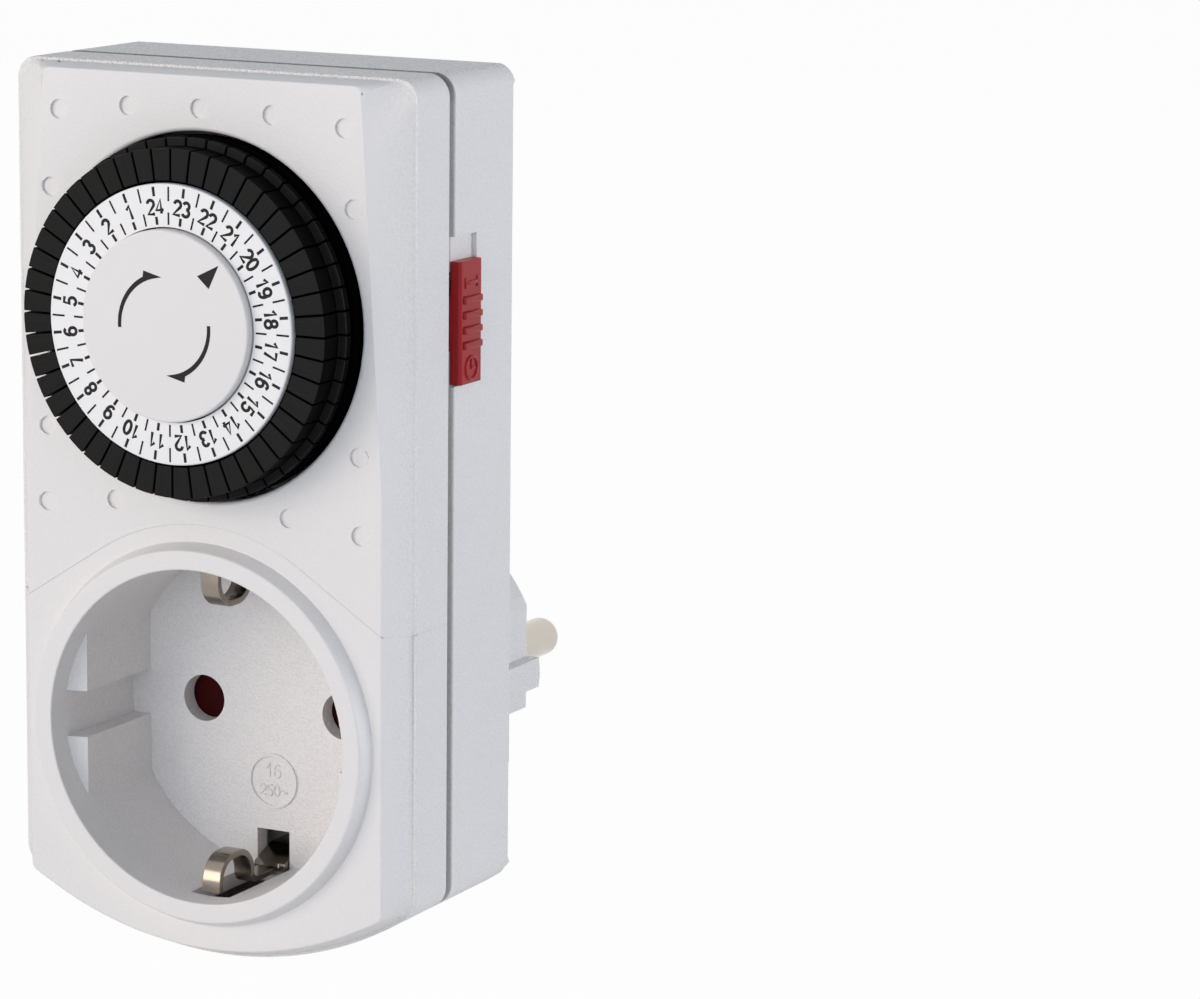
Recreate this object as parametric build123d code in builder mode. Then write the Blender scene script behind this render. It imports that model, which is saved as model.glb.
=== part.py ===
from build123d import *
import math
import os

os.makedirs("parts", exist_ok=True)

# Mechanical 24 hour plug-in timer switch for a round earthed wall socket (CEE 7).
# Millimetres. X is to the right seen from the front, +Y runs into the wall, +Z is up.
# The origin is the middle of the plug's end face, half way between the two pins.

# ---------------------------------------------------------------- socket and plug standard
pin_pitch = 19.0            # between the pin axes, plug and socket alike
pin_r = 2.4
pin_length = 19.0
pin_tip_round = 1.9
recess_r = 19.5             # round socket recess
recess_depth = 17.5
pin_hole_r = 2.8

# ---------------------------------------------------------------- front view, built up from its two circles
cup_wall = 1.8              # wall of the recess
rim_top_over = 2.25         # the collar's top and foot lie this far outside the recess
rim_foot_over = 3.0
side_room = 5.05            # from the recess cup to the casing's side
chin = 4.3                  # casing below the collar
joint_over = 2.0            # joint line outside the collar's foot
web_over_joint = 2.75       # from the joint line up to the dial opening
dial_r = 20.6
dial_opening_gap = 0.45
head_room = 6.95            # casing above the dial opening

cup_r = recess_r + cup_wall
rim_top_r = recess_r + rim_top_over
rim_foot_r = recess_r + rim_foot_over
half_w = cup_r + side_room
joint_r = rim_foot_r + joint_over       # joint line: arc about the socket axis
opening_r = dial_r + dial_opening_gap
dial_z = joint_r + web_over_joint + opening_r
body_top = dial_z + opening_r + head_room
body_bottom = -rim_foot_r - chin

# ---------------------------------------------------------------- casing
bottom_arc_r = 45.0
corner_r = 2.6
face_corner_r = 0.9
plug_reach = 22.0           # rear wall to the plug's end face
rear_depth = 14.3           # rear housing, rear wall to seam
flange_depth = 8.2          # straight side of the front shells, seam to crease
bevel_depth = 3.2           # crease to front face
crease_step = 0.35          # the bevel starts this far inside the flange
wall = 2.0
seam_lip_w = 1.0            # the front shells stand this far inside the rear one at the seam
seam_groove = 1.2
face_top_in = 5.55          # edge of the flat front face inside the casing's side, at the top
face_low_in = 2.75          # and below the shoulder
shoulder_drop = 18.3        # shoulder below the dial's middle
face_top_inset = 0.75
face_bottom_inset = 1.4
cover_gap = 0.1             # between the two front shells along their joint
joint_side_z = 14.0         # the joint is level across the bevel and flange

face_top_half = half_w - face_top_in
face_low_half = half_w - face_low_in
face_shoulder_z = dial_z - shoulder_drop
rear_y = -plug_reach
seam_y = rear_y - rear_depth
crease_y = seam_y - flange_depth
face_y = crease_y - bevel_depth
inner_rear_y = rear_y - wall
inner_face_y = face_y + wall
inner_half = half_w - wall
beyond = 2 * body_top       # past the casing on every side

# ---------------------------------------------------------------- socket recess
rim_rise = 1.8              # collar stands proud of the face
floor_t = 2.2
guide_in = 2.55             # the side guide blocks reach this far in from the recess wall
guide_start = 3.0           # below the rim
guide_lead = 0.8
guide_groove_w = 5.5
clip_window_w = 5.2
clip_window_front = 3.4     # below the rim
clip_window_over = 0.3      # the window is cut right through the cup wall and this far past it
clip_window_h = 3.0
clip_opening_w = 4.4        # opening for the clip through the recess floor
clip_opening_in = 4.6       # from the recess wall towards the axis
clip_opening_out = 0.5      # and into the wall
rating_ring_r = 3.3         # raised ring moulded on the floor
rating_ring_w = 0.35
rating_ring_h = 0.25
rating_ring_z = -8.9

guide_chord = recess_r - guide_in
clip_window_top = cup_r + clip_window_over
rim_y = face_y - rim_rise
floor_y = rim_y + recess_depth
floor_back_y = floor_y + floor_t

# ---------------------------------------------------------------- dial
dial_rotation = -7.5        # degrees clockwise of the 24 mark from straight up
segment_count = 48
hours = 24
segment_gap = 0.36
segment_in_r = 16.1
segment_face_r = 19.7
segment_travel = 1.5
segment_stop_gap = 0.15
segment_front_h = 6.0       # segment face ahead of the casing's front face
segment_ledge_drop = 3.3
segment_block_d = 4.3
tail_in_r = 17.0
tail_out_r = 18.2
tail_w = 1.3
tail_fit = 0.1
tail_past_carrier = 1.7
carrier_t = 1.75
carrier_web = 1.7
scale_in_r = 11.0
scale_out_r = 15.85
scale_t = 0.8
scale_lead = 0.4            # scale ring face ahead of the segment faces
cap_r = 10.83
cap_lead = 1.1              # cap face ahead of the scale ring
cap_t = 1.7
cap_edge_r = 0.25
spindle_r = 4.0
spindle_fit = 0.08
spindle_flange_r = 5.4
spindle_bore_r = 2.0
cap_pin_fit = 0.05
cap_pin_length = 4.0
hub_r = 7.0

segment_face_y = face_y - segment_front_h
ledge_y = segment_face_y + segment_ledge_drop
segment_back_y = segment_face_y + segment_block_d
carrier_y = segment_back_y + segment_travel + segment_stop_gap
carrier_back_y = carrier_y + carrier_t
tail_end_y = carrier_back_y + tail_past_carrier
scale_y = segment_face_y - scale_lead
scale_back_y = scale_y + scale_t
cap_y = scale_y - cap_lead
cap_back_y = cap_y + cap_t

# ---------------------------------------------------------------- gear train
dial_module = 0.6
dial_teeth = 36
clutch_pinion_teeth = 12
motor_module = 0.5
clutch_wheel_teeth = 32
output_teeth = 10
pressure_angle = 20.0
addendum = 0.9              # tooth heights above and below the pitch circle, in modules
dedendum = 1.2
flank_steps = 4
backlash = 0.14             # taken off each flank's arc at the pitch circle
gear_fit = 0.05
gear_gap = 0.4              # behind pushed segment tails
dial_gear_t = 2.0
pinion_overhang = 0.2
clutch_wheel_t = 1.2
output_overlap = 0.2
clutch_angle = 215.0        # of the clutch axle about the dial, from +X towards +Z
output_angle = 105.0        # of the motor's output shaft about the clutch axle
axle_r = 1.0
axle_head_r = 1.6
axle_head_t = 0.5
plate_gap = 0.6

dial_gear_front_y = tail_end_y + segment_travel + gear_gap
dial_gear_back_y = dial_gear_front_y + dial_gear_t
clutch_pinion_front_y = dial_gear_front_y - pinion_overhang
clutch_wheel_front_y = dial_gear_back_y + gear_gap
clutch_wheel_back_y = clutch_wheel_front_y + clutch_wheel_t
plate_front_y = clutch_wheel_back_y + plate_gap
clutch_dist = dial_module * (dial_teeth + clutch_pinion_teeth) / 2
output_dist = motor_module * (clutch_wheel_teeth + output_teeth) / 2
clutch_x = clutch_dist * math.cos(math.radians(clutch_angle))
clutch_z = dial_z + clutch_dist * math.sin(math.radians(clutch_angle))
output_x = clutch_x + output_dist * math.cos(math.radians(output_angle))
output_z = clutch_z + output_dist * math.sin(math.radians(output_angle))

# ---------------------------------------------------------------- mechanism plate and motor
plate_t = 1.5
plate_side_gap = 0.95       # to the casing's side wall
plate_top_gap = 1.1
plate_drop = 20.7           # its lower edge below the dial's middle
plate_switch_gap = 2.6      # to the switch base
plate_notch_gap = 2.5       # round the screw sleeve in its corner
motor_r = 13.6
motor_side_gap = 1.35       # to the casing's side wall
motor_lift = 7.1            # motor above the dial's middle
gear_unit_t = 3.5
motor_tin = 0.6
motor_rear_gap = 0.7
output_shaft_r = 0.7
coil_in_r = 8.2
coil_gap = 0.4
coil_t = 4.6
rotor_r = 7.2
rotor_t = 5.2
rotor_hole_r = 0.8
rotor_fit = 0.05
plate_post_r = 2.2
plate_screw_r = 0.9
plate_screw_head_r = 1.8
plate_screw_head_t = 1.0
plate_screw_length = 6.0

plate_left = plate_side_gap - inner_half
plate_top = body_top - wall - plate_top_gap
plate_bottom = dial_z - plate_drop
motor_x = motor_r + motor_side_gap - inner_half
motor_z = dial_z + motor_lift
plate_back_y = plate_front_y + plate_t
gear_unit_back_y = plate_back_y + gear_unit_t
motor_back_y = inner_rear_y - motor_rear_gap

# ---------------------------------------------------------------- plug contacts
sheet_t = 0.8               # brass strip
plug_r = 18.75
plug_flat_in = 1.85         # side flats inside the plug's round
plug_rib_half = 1.8         # rib on each flat, half its height
plug_flat_low = -4.6        # the body steps in below this height
plug_low_in = 4.15          # sides of the stepped part inside the plug's round
plug_wall = 2.6
plug_face_t = 3.0
pin_neck_r = 2.2            # where the pin passes the plug face
pin_seat_gap = 0.05
pin_shoulder_r = 3.2
pin_shoulder_t = 1.2
pin_tail_r = 1.5
rivet_head_t = 0.8
jaw_gap = 0.05              # each side of a pin that enters
jaw_h = 3.9
jaw_length = 12.0
earth_w = 4.2
earth_groove_w = 5.2
earth_groove_d = 1.85
earth_groove_gap = 0.3      # under the strip
earth_strip_end = 1.5       # short of the plug's end face
clip_w = 2.4                # the strip is narrower where it is bent into the recess clip
clip_shoulder = 1.0         # ahead of the recess floor
clip_front = 3.9            # from the rim to the clip's front leg
clip_span = 7.0             # between the two legs
clip_reach_top = 5.2        # how far the upper clip stands into the recess, from its wall
clip_reach_low = 4.6
clip_arch_r = 2.9
clip_lip_in = 0.3           # the front leg ends this far inside the recess wall
clip_run_in = 0.2           # and so does the middle of the run behind the clip
clip_run_end = 1.5          # the run leaves the wall this far ahead of the floor
clip_slope_end = 0.6        # and reaches the straight strip this far behind it
earth_bow = 0.6             # spring bow of the plug contact
earth_bow_y = -9.0
earth_bow_half = 5.0
clip_bend_r = 0.9
strip_slack = 0.3           # live strips ahead of the rear wall

shutter_t = 1.6
shutter_fit = 0.2
shutter_travel = 6.0
shutter_half_w = 13.6
shutter_low = -10.0
shutter_high = 3.4
shutter_rail_w = 1.4
carrier_plate_t = 1.5
carrier_plate_half = 15.4
carrier_plate_low = -12.6
carrier_plate_high = 15.6
pocket_wall = 1.0
pocket_fit = 0.15
spring_r = 0.7
spring_wire_r = 0.15
spring_turns = 8
spring_seat_t = 1.0
spring_seat_w = 6.0

plug_flat = plug_r - plug_flat_in
plug_low_half = plug_r - plug_low_in
earth_groove_floor = plug_r - earth_groove_d
earth_z = earth_groove_floor + earth_groove_gap + sheet_t / 2
shutter_front_y = floor_back_y + shutter_fit
shutter_back_y = shutter_front_y + shutter_t
contact_plate_y = shutter_back_y + shutter_fit
contact_plate_back_y = contact_plate_y + carrier_plate_t
jaw_front_y = contact_plate_back_y + pocket_fit
jaw_back_y = jaw_front_y + jaw_length
leaf_in = pin_r + jaw_gap
leaf_out = leaf_in + sheet_t

# ---------------------------------------------------------------- switch
strip_w = 4.0
strip_t = 0.4
strip_side_room = 7.85      # from the casing's side wall to the middle of the contact strips
base_over = 3.3             # base left of that middle
base_leg_over = 3.7
base_drop = 14.3            # underside of the base below the dial's middle
base_h = 5.6
lever_rise = 4.4            # lever pin above the base
lever_ahead = 4.2           # lever pin in front of the seam
lever_hub_r = 1.7
lever_pin_r = 0.8
lever_pin_fit = 0.05
arm_over = 4.5              # arm left of the middle of the strips
arm_w = 2.2
arm_h = 18.0
arm_t = 1.8
pad_h = 2.6
pad_gap = 0.3               # behind a pushed segment tail
lug_rise = 7.0              # lug above the lever pin
lug_h = 2.0
leaf_pivot_rise = 0.7       # bend of the moving strip above the base
contact_rise = 4.0          # contact buttons above the foot of the lug
contact_end = 2.4
contact_r = 1.3
contact_button_h = 0.6
contact_gap = 0.65
leaf_behind = 1.9           # front of the moving strip behind the lever pin
fixed_button_h = 0.55
ear_over = 1.4
ear_t = 2.4
base_leg_d = 2.0
lever_side_gap = 0.3
link_drop = 2.3             # strip from the live jaw below the base
bus_drop = 0.8              # strip from the live pin below the base
bus_w = 3.4
bus_over = 0.7              # strip of the live pin to the right of its axis
bus_room = 0.52             # between its corner and the plug's inside
leaf_root_gap = 0.3

switch_x = inner_half - strip_side_room
base_left = switch_x - base_over
base_leg_left = switch_x + base_leg_over
base_low = dial_z - base_drop
base_high = base_low + base_h
lever_z = base_high + lever_rise
lever_y = seam_y - lever_ahead
base_front_y = lever_y - arm_t / 2
arm_left = switch_x - arm_over
arm_right = arm_left + arm_w
arm_top = lever_z + arm_h
lug_low = lever_z + lug_rise
leaf_pivot_z = base_high + leaf_pivot_rise
contact_z = lug_low + contact_rise
leaf_y = lever_y + leaf_behind
ear_left = switch_x + ear_over
plate_right = base_left - plate_switch_gap
bus_right = pin_pitch / 2 + bus_over
bus_left = bus_right - bus_w
bus_top_z = math.sqrt((plug_r - plug_wall) ** 2 - bus_right ** 2) - bus_room
leaf_back_y = leaf_y + strip_t
fixed_button_y = leaf_back_y + contact_button_h + contact_gap
fixed_strip_y = fixed_button_y + fixed_button_h
lever_pad_y = tail_end_y + segment_travel + pad_gap
link_z = base_low - link_drop
bus_z = base_low - bus_drop

# ---------------------------------------------------------------- override slider
slot_drop = 7.3             # lower end of the slot below the dial's middle
slot_depth = 5.25           # from the seam into the rear housing
slot_pocket = 0.6           # how far the slot is sunk in the side wall
slider_fit = 0.2
slider_h = 14.0
slider_travel = 2.6
slider_proud = 0.9
slider_edge_r = 0.45
stem_h = 6.0                # neck of the slider through the slot's floor
stem_d = 3.4
slider_flange_over = 1.4
slider_flange_t = 0.8
slider_rib_count = 4
slider_rib_pitch = 1.72
slider_rib_h = 0.4
slider_rib_w = 0.8
tongue_h = 3.0
tongue_l = 3.0
tongue_t = 1.5

slot_low = dial_z - slot_drop
slot_back_y = seam_y + slot_depth
slot_high = slot_low + slider_h + slider_travel + 2 * slider_fit
slider_low = slot_low + slider_fit
slider_middle = slider_low + slider_h / 2
stem_low = slider_middle - stem_h / 2
stem_high = slider_middle + stem_h / 2
stem_slot_low = stem_low - slider_fit
stem_slot_high = stem_high + slider_travel + slider_fit

# ---------------------------------------------------------------- fasteners and dimples
screw_top_drop = 5.9        # upper screws below the casing's top
screw_top_in = 4.05         # and inside its side wall
screw_joint_drop = 27.3     # middle screws below the dial's middle
screw_joint_in = 2.55
screw_low_rise = 13.2       # lower screws above the casing's underside
screw_low_in = 4.35
boss_r = 2.5
boss_gap = 0.2
screw_r = 1.2
screw_hole_gap = 0.15
screw_head_r = 2.2
screw_head_t = 1.6
screw_head_gap = 0.2
screw_sink = 6.0            # head seat below the rear wall's outside
screw_bite = 6.0            # thread in the front boss
dimple_r = 1.1
dimple_depth = 0.35

# Middles of the dimples on the right and in the middle, from the dial's axis.
dimple_spots = [(0.0, 23.6), (9.4, 23.4), (face_top_half - 2.1, 22.5), (face_low_half - 3.7, 13.6),
                (face_low_half - 3.0, -14.1), (11.5, -21.9), (face_low_half - 2.8, -23.0)]
screw_spots_upper = [(side * (inner_half - inset), z) for side in (-1, 1)
                     for inset, z in ((screw_top_in, body_top - screw_top_drop),
                                      (screw_joint_in, dial_z - screw_joint_drop))]
screw_spots_lower = [(side * (inner_half - screw_low_in), body_bottom + screw_low_rise) for side in (-1, 1)]
post_rise = 3.4             # lower posts above the plate's lower edge
post_in = 2.2               # posts inside the plate's left and right edges
post_spacing = 24.2
post_top_in = 1.6
post_top_x = -7.0
post_right_rise = 17.7      # right upper post above the dial's middle
plate_post_spots = [(plate_left + post_in, plate_bottom + post_rise),
                    (plate_left + post_in + post_spacing, plate_bottom + post_rise),
                    (post_top_x, plate_top - post_top_in),
                    (plate_right - post_in, dial_z + post_right_rise)]


# ================================================================ shared shapes
def plane_at(y):
    """Upright plane facing the front at depth y; its local axes are +X and +Z."""
    return Plane.XZ.offset(-y)


def casing_outline(side, top, bottom, shoulder_half, top_half, radius):
    """Closed outline of the casing at one depth, with its bowed bottom edge."""
    sag = bottom_arc_r - math.sqrt(bottom_arc_r ** 2 - side ** 2)
    with BuildSketch() as outline:
        with BuildLine():
            right = Polyline((0, top), (top_half, top), (shoulder_half, face_shoulder_z),
                             (side, bottom + sag))
            ThreePointArc(right @ 1, (0, bottom), (-side, bottom + sag))
            Polyline((-side, bottom + sag), (-shoulder_half, face_shoulder_z), (-top_half, top), (0, top))
        make_face()
        corners = [v for v in outline.vertices() if abs(v.Y - face_shoulder_z) > 1 and abs(v.X) > 1]
        fillet(corners, radius)
    return outline.sketch


def flange_outline(inset):
    """Straight-sided outline of the casing, drawn in by inset all round."""
    side = half_w - inset
    return casing_outline(side, body_top - inset, body_bottom + inset, side, side, corner_r - inset / 2)


def face_outline(inset):
    """Outline of the flat front face, drawn in by inset all round."""
    return casing_outline(face_low_half - inset, body_top - face_top_inset - inset,
                          body_bottom + face_bottom_inset + inset, face_low_half - inset,
                          face_top_half - inset, face_corner_r)


def lower_region():
    """Area of the socket cover: below the arc, its two tangents and the level side lines."""
    edge_x = face_low_half
    reach = math.hypot(edge_x, joint_side_z)
    tangent = math.atan2(joint_side_z, edge_x) + math.acos(joint_r / reach)
    tx = joint_r * math.cos(tangent)
    tz = joint_r * math.sin(tangent)
    with BuildSketch() as region:
        with BuildLine():
            right = Polyline((beyond, joint_side_z), (edge_x, joint_side_z), (tx, tz))
            arc = ThreePointArc(right @ 1, (0, joint_r), (-tx, tz))
            Polyline(arc @ 1, (-edge_x, joint_side_z), (-beyond, joint_side_z), (-beyond, -beyond),
                     (beyond, -beyond), (beyond, joint_side_z))
        make_face()
    return region.sketch


def front_shell():
    """Both front shells in one: bevelled dish, open at the seam."""
    with BuildPart() as shell:
        with BuildSketch(plane_at(seam_y)):
            add(flange_outline(0))
        extrude(amount=seam_y - crease_y)
        with BuildSketch(plane_at(crease_y)):
            add(flange_outline(crease_step))
        with BuildSketch(plane_at(face_y)):
            add(face_outline(0))
        loft(ruled=True)
        with BuildSketch(plane_at(seam_y)):
            add(flange_outline(0))
            add(flange_outline(seam_lip_w), mode=Mode.SUBTRACT)
        extrude(amount=seam_groove, mode=Mode.SUBTRACT)
        with BuildSketch(plane_at(seam_y)):
            add(flange_outline(wall))
        extrude(amount=seam_y - crease_y, mode=Mode.SUBTRACT)
        with BuildSketch(plane_at(crease_y)):
            add(flange_outline(wall + crease_step))
        with BuildSketch(plane_at(inner_face_y)):
            add(face_outline(wall))
        loft(ruled=True, mode=Mode.SUBTRACT)
    return shell.part


def involute(angle):
    return math.tan(angle) - angle


def gear_outline(teeth, module, phase):
    """Involute gear outline; one tooth is centred phase degrees from +X towards +Z."""
    pressure = math.radians(pressure_angle)
    pitch_r = module * teeth / 2
    base_r = pitch_r * math.cos(pressure)
    tip_r = pitch_r + addendum * module
    root_r = pitch_r - dedendum * module
    half_tooth = math.pi / (2 * teeth) - backlash / (2 * pitch_r) + involute(pressure)
    start_r = max(base_r, root_r)
    flank = [(root_r, half_tooth)] if root_r < base_r else []
    for i in range(flank_steps + 1):
        r = start_r + (tip_r - start_r) * i / flank_steps
        flank.append((r, half_tooth - involute(math.acos(min(1.0, base_r / r)))))
    points = []
    for tooth in range(teeth):
        middle = math.radians(phase) + 2 * math.pi * tooth / teeth
        for r, half in flank:
            points.append((r * math.cos(middle - half), r * math.sin(middle - half)))
        for r, half in reversed(flank):
            points.append((r * math.cos(middle + half), r * math.sin(middle + half)))
    with BuildSketch() as gear:
        with BuildLine():
            Polyline(*points, close=True)
        make_face()
    return gear.sketch


def write(part, name):
    """Label a finished piece and write it as its own STEP file."""
    part.label = name
    export_step(part, f"parts/{name}.step")


# ================================================================ rear housing with plug body
# Rear half of the casing, moulded in one with the round plug body. Screw sleeves, four
# posts for the mechanism plate and the slot for the override slider belong to it.
screw_seat_y = rear_y - screw_sink
with BuildPart() as rear_housing:
    with BuildSketch(plane_at(rear_y)):
        add(flange_outline(0))
    extrude(amount=rear_depth)
    with BuildSketch(plane_at(inner_rear_y)):
        add(flange_outline(wall))
    extrude(amount=inner_rear_y - seam_y, mode=Mode.SUBTRACT)
    with BuildSketch(plane_at(0)):
        Circle(plug_r)
        Rectangle(2 * plug_flat, 2 * plug_r, mode=Mode.INTERSECT)
        with Locations((0, (plug_flat_low - plug_r) / 2)):
            Rectangle(2 * plug_r, plug_flat_low + plug_r, mode=Mode.SUBTRACT)
            Rectangle(2 * plug_low_half, plug_flat_low + plug_r)
        Circle(plug_r, mode=Mode.INTERSECT)
    extrude(amount=plug_reach)
    with BuildSketch(plane_at(0)):
        Rectangle(2 * plug_r, 2 * plug_rib_half)
        Circle(plug_r, mode=Mode.INTERSECT)
    extrude(amount=plug_reach)
    with BuildSketch(plane_at(-plug_face_t)):
        Circle(plug_r - plug_wall)
        Rectangle(2 * (plug_flat - plug_wall), 2 * plug_r, mode=Mode.INTERSECT)
        with Locations((0, (plug_flat_low - plug_r) / 2)):
            Rectangle(2 * plug_r, plug_flat_low + plug_r + 2 * plug_wall, mode=Mode.SUBTRACT)
            Rectangle(2 * (plug_low_half - plug_wall), plug_flat_low + plug_r + 2 * plug_wall)
        Circle(plug_r - plug_wall, mode=Mode.INTERSECT)
    extrude(amount=plug_reach + wall - plug_face_t, mode=Mode.SUBTRACT)
    with BuildSketch(plane_at(0)):
        for side in (1, -1):
            with Locations((0, side * plug_r)):
                Rectangle(earth_groove_w, 2 * (plug_r - earth_groove_floor))
    extrude(amount=plug_reach + wall, mode=Mode.SUBTRACT)
    with BuildSketch(plane_at(0)):
        with Locations((-pin_pitch / 2, 0), (pin_pitch / 2, 0)):
            Circle(pin_r + pin_seat_gap)
    extrude(amount=plug_face_t, mode=Mode.SUBTRACT)
    with BuildSketch(plane_at(rear_y)):
        with Locations(*screw_spots_upper, *screw_spots_lower):
            Circle(boss_r)
    extrude(amount=rear_depth - seam_groove)
    with BuildSketch(plane_at(inner_rear_y)):
        with Locations(*plate_post_spots):
            Circle(plate_post_r)
    extrude(amount=inner_rear_y - plate_back_y)
    with BuildSketch(plane_at(rear_y)):
        with Locations(*screw_spots_upper, *screw_spots_lower):
            Circle(screw_r + screw_hole_gap)
    extrude(amount=rear_depth, mode=Mode.SUBTRACT)
    with BuildSketch(plane_at(rear_y)):
        with Locations(*screw_spots_upper, *screw_spots_lower):
            Circle(screw_head_r)
    extrude(amount=screw_sink, mode=Mode.SUBTRACT)
    with BuildSketch(plane_at(plate_back_y + plate_screw_length)):
        with Locations(*plate_post_spots):
            Circle(plate_screw_r)
    extrude(amount=plate_screw_length, mode=Mode.SUBTRACT)
    with BuildSketch(Plane.YZ.offset(half_w - slot_pocket)):
        with Locations(((seam_y + slot_back_y) / 2, (slot_low + slot_high) / 2)):
            Rectangle(slot_depth, slot_high - slot_low)
    extrude(amount=wall, mode=Mode.SUBTRACT)
    with BuildSketch(Plane.YZ.offset(inner_half - wall)):
        with Locations((seam_y + (stem_d + slider_fit) / 2, (stem_slot_low + stem_slot_high) / 2)):
            Rectangle(stem_d + slider_fit, stem_slot_high - stem_slot_low)
    extrude(amount=2 * wall, mode=Mode.SUBTRACT)
write(rear_housing.part, "rear_housing")

# ================================================================ front cover
# Upper front shell: bevelled face with the round dial opening and rows of shallow dimples.
with BuildPart() as front_cover:
    add(front_shell())
    with BuildSketch(plane_at(seam_y)):
        with BuildSketch(mode=Mode.PRIVATE) as lower_half:
            add(lower_region())
        add(offset(lower_half.sketch, amount=cover_gap / 2, mode=Mode.PRIVATE))
    extrude(amount=seam_y - rim_y, mode=Mode.SUBTRACT)
    with BuildSketch(plane_at(seam_y)):
        with Locations(*screw_spots_upper):
            Circle(boss_r)
    extrude(amount=seam_y - inner_face_y)
    with BuildSketch(plane_at(seam_y)):
        with Locations(*screw_spots_upper):
            Circle(boss_r + boss_gap)
    extrude(amount=seam_groove, mode=Mode.SUBTRACT)
    with BuildSketch(plane_at(seam_y)):
        with Locations(*screw_spots_upper):
            Circle(screw_r)
    extrude(amount=screw_bite + seam_groove, mode=Mode.SUBTRACT)
    with BuildSketch(plane_at(seam_y)):
        with Locations((0, dial_z)):
            Circle(opening_r)
    extrude(amount=seam_y - face_y, mode=Mode.SUBTRACT)
    with BuildSketch(plane_at(face_y + dimple_depth)):
        with Locations(*[(side * x, dial_z + z) for x, z in dimple_spots for side in (-1, 1)]):
            Circle(dimple_r)
    extrude(amount=dimple_depth, mode=Mode.SUBTRACT)
write(front_cover.part, "front_cover")


# ================================================================ socket cover
# Lower front shell with the raised collar and the recess cup of the socket moulded in.
def guide_blocks():
    """Side guides of the recess, in four quarters, with sloped lead-ins."""
    start_y = rim_y + guide_start
    with BuildPart() as guides:
        with BuildSketch(plane_at(floor_y)):
            Circle(recess_r)
            Rectangle(2 * guide_chord, 2 * recess_r, mode=Mode.SUBTRACT)
            Rectangle(2 * recess_r, guide_groove_w, mode=Mode.SUBTRACT)
        extrude(amount=floor_y - start_y)
        with BuildSketch(Plane.XY.offset(-recess_r)):
            with BuildLine():
                Polyline((guide_chord, start_y + guide_lead), (recess_r, start_y),
                         (guide_chord, start_y), close=True)
            make_face()
            mirror(about=Plane.YZ)
        extrude(amount=2 * recess_r, mode=Mode.SUBTRACT)
    return guides.part


with BuildPart() as socket_cover:
    add(front_shell())
    with BuildSketch(plane_at(seam_y)):
        Rectangle(2 * beyond, 2 * beyond)
        with BuildSketch(mode=Mode.PRIVATE) as lower_half:
            add(lower_region())
        add(offset(lower_half.sketch, amount=-cover_gap / 2, mode=Mode.PRIVATE), mode=Mode.SUBTRACT)
    extrude(amount=seam_y - rim_y, mode=Mode.SUBTRACT)
    with BuildSketch(plane_at(floor_back_y)):
        Circle(cup_r)
    extrude(amount=floor_back_y - face_y)
    with BuildSketch(plane_at(face_y)):
        Circle(rim_foot_r)
    with BuildSketch(plane_at(rim_y)):
        Circle(rim_top_r)
    loft()
    with BuildSketch(plane_at(floor_y)):
        Circle(recess_r)
    extrude(amount=recess_depth, mode=Mode.SUBTRACT)
    add(guide_blocks())
    with BuildSketch(plane_at(floor_y)):
        for side in (1, -1):
            with Locations((0, side * (clip_window_top - clip_window_h / 2))):
                Rectangle(clip_window_w, clip_window_h)
    extrude(amount=recess_depth - clip_window_front, mode=Mode.SUBTRACT)
    with BuildSketch(plane_at(floor_back_y)):
        for side in (1, -1):
            with Locations((0, side * (recess_r + (clip_opening_out - clip_opening_in) / 2))):
                Rectangle(clip_opening_w, clip_opening_in + clip_opening_out)
    extrude(amount=floor_t, mode=Mode.SUBTRACT)
    with BuildSketch(plane_at(floor_back_y)):
        with Locations((-pin_pitch / 2, 0), (pin_pitch / 2, 0)):
            Circle(pin_hole_r)
    extrude(amount=floor_t, mode=Mode.SUBTRACT)
    with BuildSketch(plane_at(floor_y)):
        with Locations((0, rating_ring_z)):
            Circle(rating_ring_r)
            Circle(rating_ring_r - rating_ring_w, mode=Mode.SUBTRACT)
    extrude(amount=rating_ring_h)
    with BuildSketch(plane_at(shutter_back_y)):
        for side in (1, -1):
            with Locations((side * (shutter_half_w + shutter_fit + shutter_rail_w / 2), 0)):
                Rectangle(shutter_rail_w, -2 * shutter_low)
    extrude(amount=shutter_back_y - floor_back_y)
    with BuildSketch(plane_at(seam_y)):
        with Locations(*screw_spots_lower):
            Circle(boss_r)
    extrude(amount=seam_y - inner_face_y)
    with BuildSketch(plane_at(seam_y)):
        with Locations(*screw_spots_lower):
            Circle(boss_r + boss_gap)
    extrude(amount=seam_groove, mode=Mode.SUBTRACT)
    with BuildSketch(plane_at(seam_y)):
        with Locations(*screw_spots_lower):
            Circle(screw_r)
    extrude(amount=screw_bite + seam_groove, mode=Mode.SUBTRACT)
write(socket_cover.part, "socket_cover")

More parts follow.
